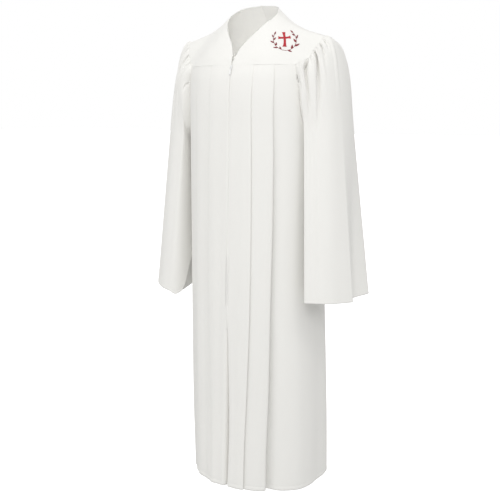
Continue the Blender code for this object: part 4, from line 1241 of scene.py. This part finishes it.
def thread_material():
    """Sewing thread: slightly glossy, its twist as a fine slanted wave."""
    material, tree, shader = new_material("White sewing thread", THREAD_WHITE, 0.55)
    place = put(tree, "TexCoord")
    twist = put(tree, "TexWave", {"Vector": place.outputs["Object"], "Scale": 700.0, "Distortion": 1.0},
                bands_direction="DIAGONAL")
    tint(tree, shader, THREAD_WHITE, THREAD_SHADE, twist.outputs["Fac"])
    bump(tree, shader, twist.outputs["Fac"], 0.00005)
    return material


def enamel_material():
    """Baked white enamel over metal: glossy, with slight orange peel and duller scuffed spots."""
    material, tree, shader = new_material("White zip enamel", ENAMEL, 0.25, Coat_Roughness=0.12)
    shader.inputs["Coat Weight"].default_value = 0.4
    place = put(tree, "TexCoord")
    peel = put(tree, "TexNoise", {"Vector": place.outputs["Object"], "Scale": 900.0, "Detail": 2.0})
    scuffs = put(tree, "TexNoise", {"Vector": place.outputs["Object"], "Scale": 260.0, "Detail": 6.0})
    dull = put(tree, "MapRange", {"Value": scuffs.outputs[0], "From Min": 0.5, "From Max": 0.75,
                                  "To Min": 0.22, "To Max": 0.5})
    tree.links.new(dull.outputs[0], shader.inputs["Roughness"])
    tint(tree, shader, ENAMEL, ENAMEL_SHADE, scuffs.outputs[0])
    bump(tree, shader, peel.outputs[0], 0.00003, 0.5)
    return material


weave_nodes = weave_group()
cloudy_nodes = cloudy_group()
thread_nodes = thread_group()
robe_cloth = woven_material(
    "White robe cloth", WHITE, pitch=0.0005, weave_deep=0.00005, slub=0.25, dip_deep=0.0012
)
tape_white = woven_material(
    "White zip tape", TAPE_WHITE, pitch=0.0009, weave_deep=0.0001, slub=0.1, dip_deep=0.0002
)
thread_white = thread_material()
enamel = enamel_material()
red_satin = satin_material("Red embroidery thread", BRIGHT_RED, BRIGHT_RED_SHADE)
dark_red_satin = satin_material("Dark red embroidery thread", DARK_RED, DARK_RED_SHADE)

# Cloth
left_front = leaning(front_panel("left"))
right_front = leaning(mirrored(front_panel("right")))
back = leaning(back_panel())
left_sleeve = sleeve("left")
right_sleeve = sleeve("right")[:, ::-1] * (-1, 1, 1)
front_ways = np.linspace(0, 1, 84) ** 1.1 * (SHOULDER_WAY - SHOULDER_GAP)
back_ways = np.linspace(SHOULDER_WAY + SHOULDER_GAP, 1, 70)
front_yoke = yoke_piece(front_ways)
half_back_yoke = yoke_piece(back_ways)
back_yoke = np.concatenate([half_back_yoke, mirrored(half_back_yoke)[:, 1:]], axis=1)

# Each sheet of cloth: its grid, thickness, cut size, cut area and whether it is a tube
SHEETS = {
    "front_yoke_left": (front_yoke, YOKE_CLOTH, (0.235, 0.190), 0.0265, False),
    "front_yoke_right": (mirrored(front_yoke), YOKE_CLOTH, (0.235, 0.190), 0.0265, False),
    "back_yoke": (back_yoke, YOKE_CLOTH, (0.460, 0.190), 0.0760, False),
    "front_panel_left": (left_front, CLOTH, (0.385, 1.170), 0.405, False),
    "front_panel_right": (right_front, CLOTH, (0.385, 1.170), 0.405, False),
    "back_panel": (back, CLOTH, (0.640, 1.155), 0.640, False),
    "sleeve_left": (left_sleeve, CLOTH, (0.560, 0.700), 0.290, True),
    "sleeve_right": (right_sleeve, CLOTH, (0.560, 0.700), 0.290, True),
}
for node, (grid, thick, flat, area, closed) in SHEETS.items():
    shell = add_shell(node, grid, robe_cloth, thick, closed)
tape = zip_tape()
for node, grid in (("zip_tape_left", tape), ("zip_tape_right", mirrored(tape))):
    shell = add_shell(node, grid, tape_white, TAPE)

# Stitches
hem_lines = [inset_line(grid, "bottom", HEM_DEEP) for grid in (left_front, right_front, back)]
cuff_lines = [inset_line(grid, "bottom", CUFF_HEM_DEEP, True) for grid in (left_sleeve, right_sleeve)]
zip_lines = []
for grid, side in ((left_front, 1), (mirrored(right_front), -1)):
    line, out = inset_line(grid[:, len(ZIP_FOLD["past"]):], "left", ZIP_STITCH_IN)
    beside_zip = line[:, 2] > -ZIP_END_DROP
    zip_lines.append((line[beside_zip] * (side, 1, 1), out[beside_zip] * (side, 1, 1)))
add_stitches("stitches_hem", hem_lines)
add_stitches("stitches_cuffs", cuff_lines)
add_stitches("stitches_zip", zip_lines)

# Zip and embroidery
slider_place = slider_matrix()
zip_teeth()
zip_end()
add_zip_slider()
add_zip_pull()
add_embroidery()

# Camera: level with the chest, to the robe's left of its front, looking slightly down
CAMERA = {"azimuth": 33.0, "away": 2.6, "z": -0.234, "aside": -0.0164, "down": 9.06, "lens": 66.5856}
azimuth = np.radians(CAMERA["azimuth"])
toward = np.array((np.sin(azimuth), -np.cos(azimuth)))
aside = np.array((np.cos(azimuth), np.sin(azimuth)))
camera = bpy.data.objects.new("Camera", bpy.data.cameras.new("Camera"))
camera.data.lens = CAMERA["lens"]
camera.data.sensor_width = 36
bpy.context.scene.collection.objects.link(camera)
place = Matrix.Translation((*(toward * CAMERA["away"] + aside * CAMERA["aside"]), CAMERA["z"]))
camera.matrix_world = (
    place @ Matrix.Rotation(azimuth, 4, "Z") @ Matrix.Rotation(np.radians(90 - CAMERA["down"]), 4, "X")
)
bpy.context.scene.camera = camera

# Floor, light and sky
FLOOR_Z = -1.44
FLOOR_HALF = 30.0
FLOOR_GREY = (0.66, 0.66, 0.66)
FLOOR_GLOW = 0.95
SKY_WHITE = (1.0, 1.0, 1.0, 1.0)
SKY_LIGHT = 0.80
floor_material, floor_tree, floor_shader = new_material("Pale floor", FLOOR_GREY, 0.9)
floor_shader.inputs["Emission Strength"].default_value = FLOOR_GLOW
floor_rays = put(floor_tree, "LightPath")
floor_tree.links.new(floor_rays.outputs["Is Camera Ray"], floor_shader.inputs["Emission Color"])
floor_corners = [(x * FLOOR_HALF, y * FLOOR_HALF, FLOOR_Z) for x, y in ((-1, -1), (1, -1), (1, 1), (-1, 1))]
add_mesh("floor", floor_corners, [[0, 1, 2, 3]], floor_material)

# Each lamp: where it stands and points, the side of its square, its power, and how far its light spreads
LAMPS = {
    "name": ("Camera side light", "High right light", "High left light", "Neck light", "Inner light"),
    "from": ((1.75, -3.2, 1.2), (-1.0, -2.1, 1.5), (1.9, -1.0, 1.9), (0.40, -0.95, 0.12),
             (0.02, 0.02, -0.36)),
    "to": ((0, 0, -0.5), (0, 0, -0.5), (0, 0, -0.5), (-0.02, 0.06, -0.03), (0, 0.08, -0.04)),
    "size": (1.1, 1.4, 0.5, 0.16, 0.08),
    "watts": (34.0, 11.0, 7.0, 0.008, 0.23),
    "spread": (180, 180, 180, 24, 120),
}
for lamp in rows_of(LAMPS):
    light = bpy.data.objects.new(lamp["name"], bpy.data.lights.new(lamp["name"], "AREA"))
    light.data.size = lamp["size"]
    light.data.energy = lamp["watts"]
    light.data.spread = np.radians(lamp["spread"])
    bpy.context.scene.collection.objects.link(light)
    light.location = lamp["from"]
    light.rotation_euler = Vector(np.subtract(lamp["to"], lamp["from"])).to_track_quat("-Z", "Y").to_euler()

world = bpy.data.worlds.new("White studio")
bpy.context.scene.world = world
world.use_nodes = True
sky = world.node_tree
lit = sky.nodes["Background"]
lit.inputs["Color"].default_value = SKY_WHITE
lit.inputs["Strength"].default_value = SKY_LIGHT
seen = put(sky, "Background", {"Color": SKY_WHITE, "Strength": 1.0})
rays = put(sky, "LightPath")
both = put(sky, "MixShader", {0: rays.outputs["Is Camera Ray"], 1: lit.outputs[0], 2: seen.outputs[0]})
sky.links.new(both.outputs[0], sky.nodes["World Output"].inputs["Surface"])
bpy.context.scene.view_settings.view_transform = "Standard"
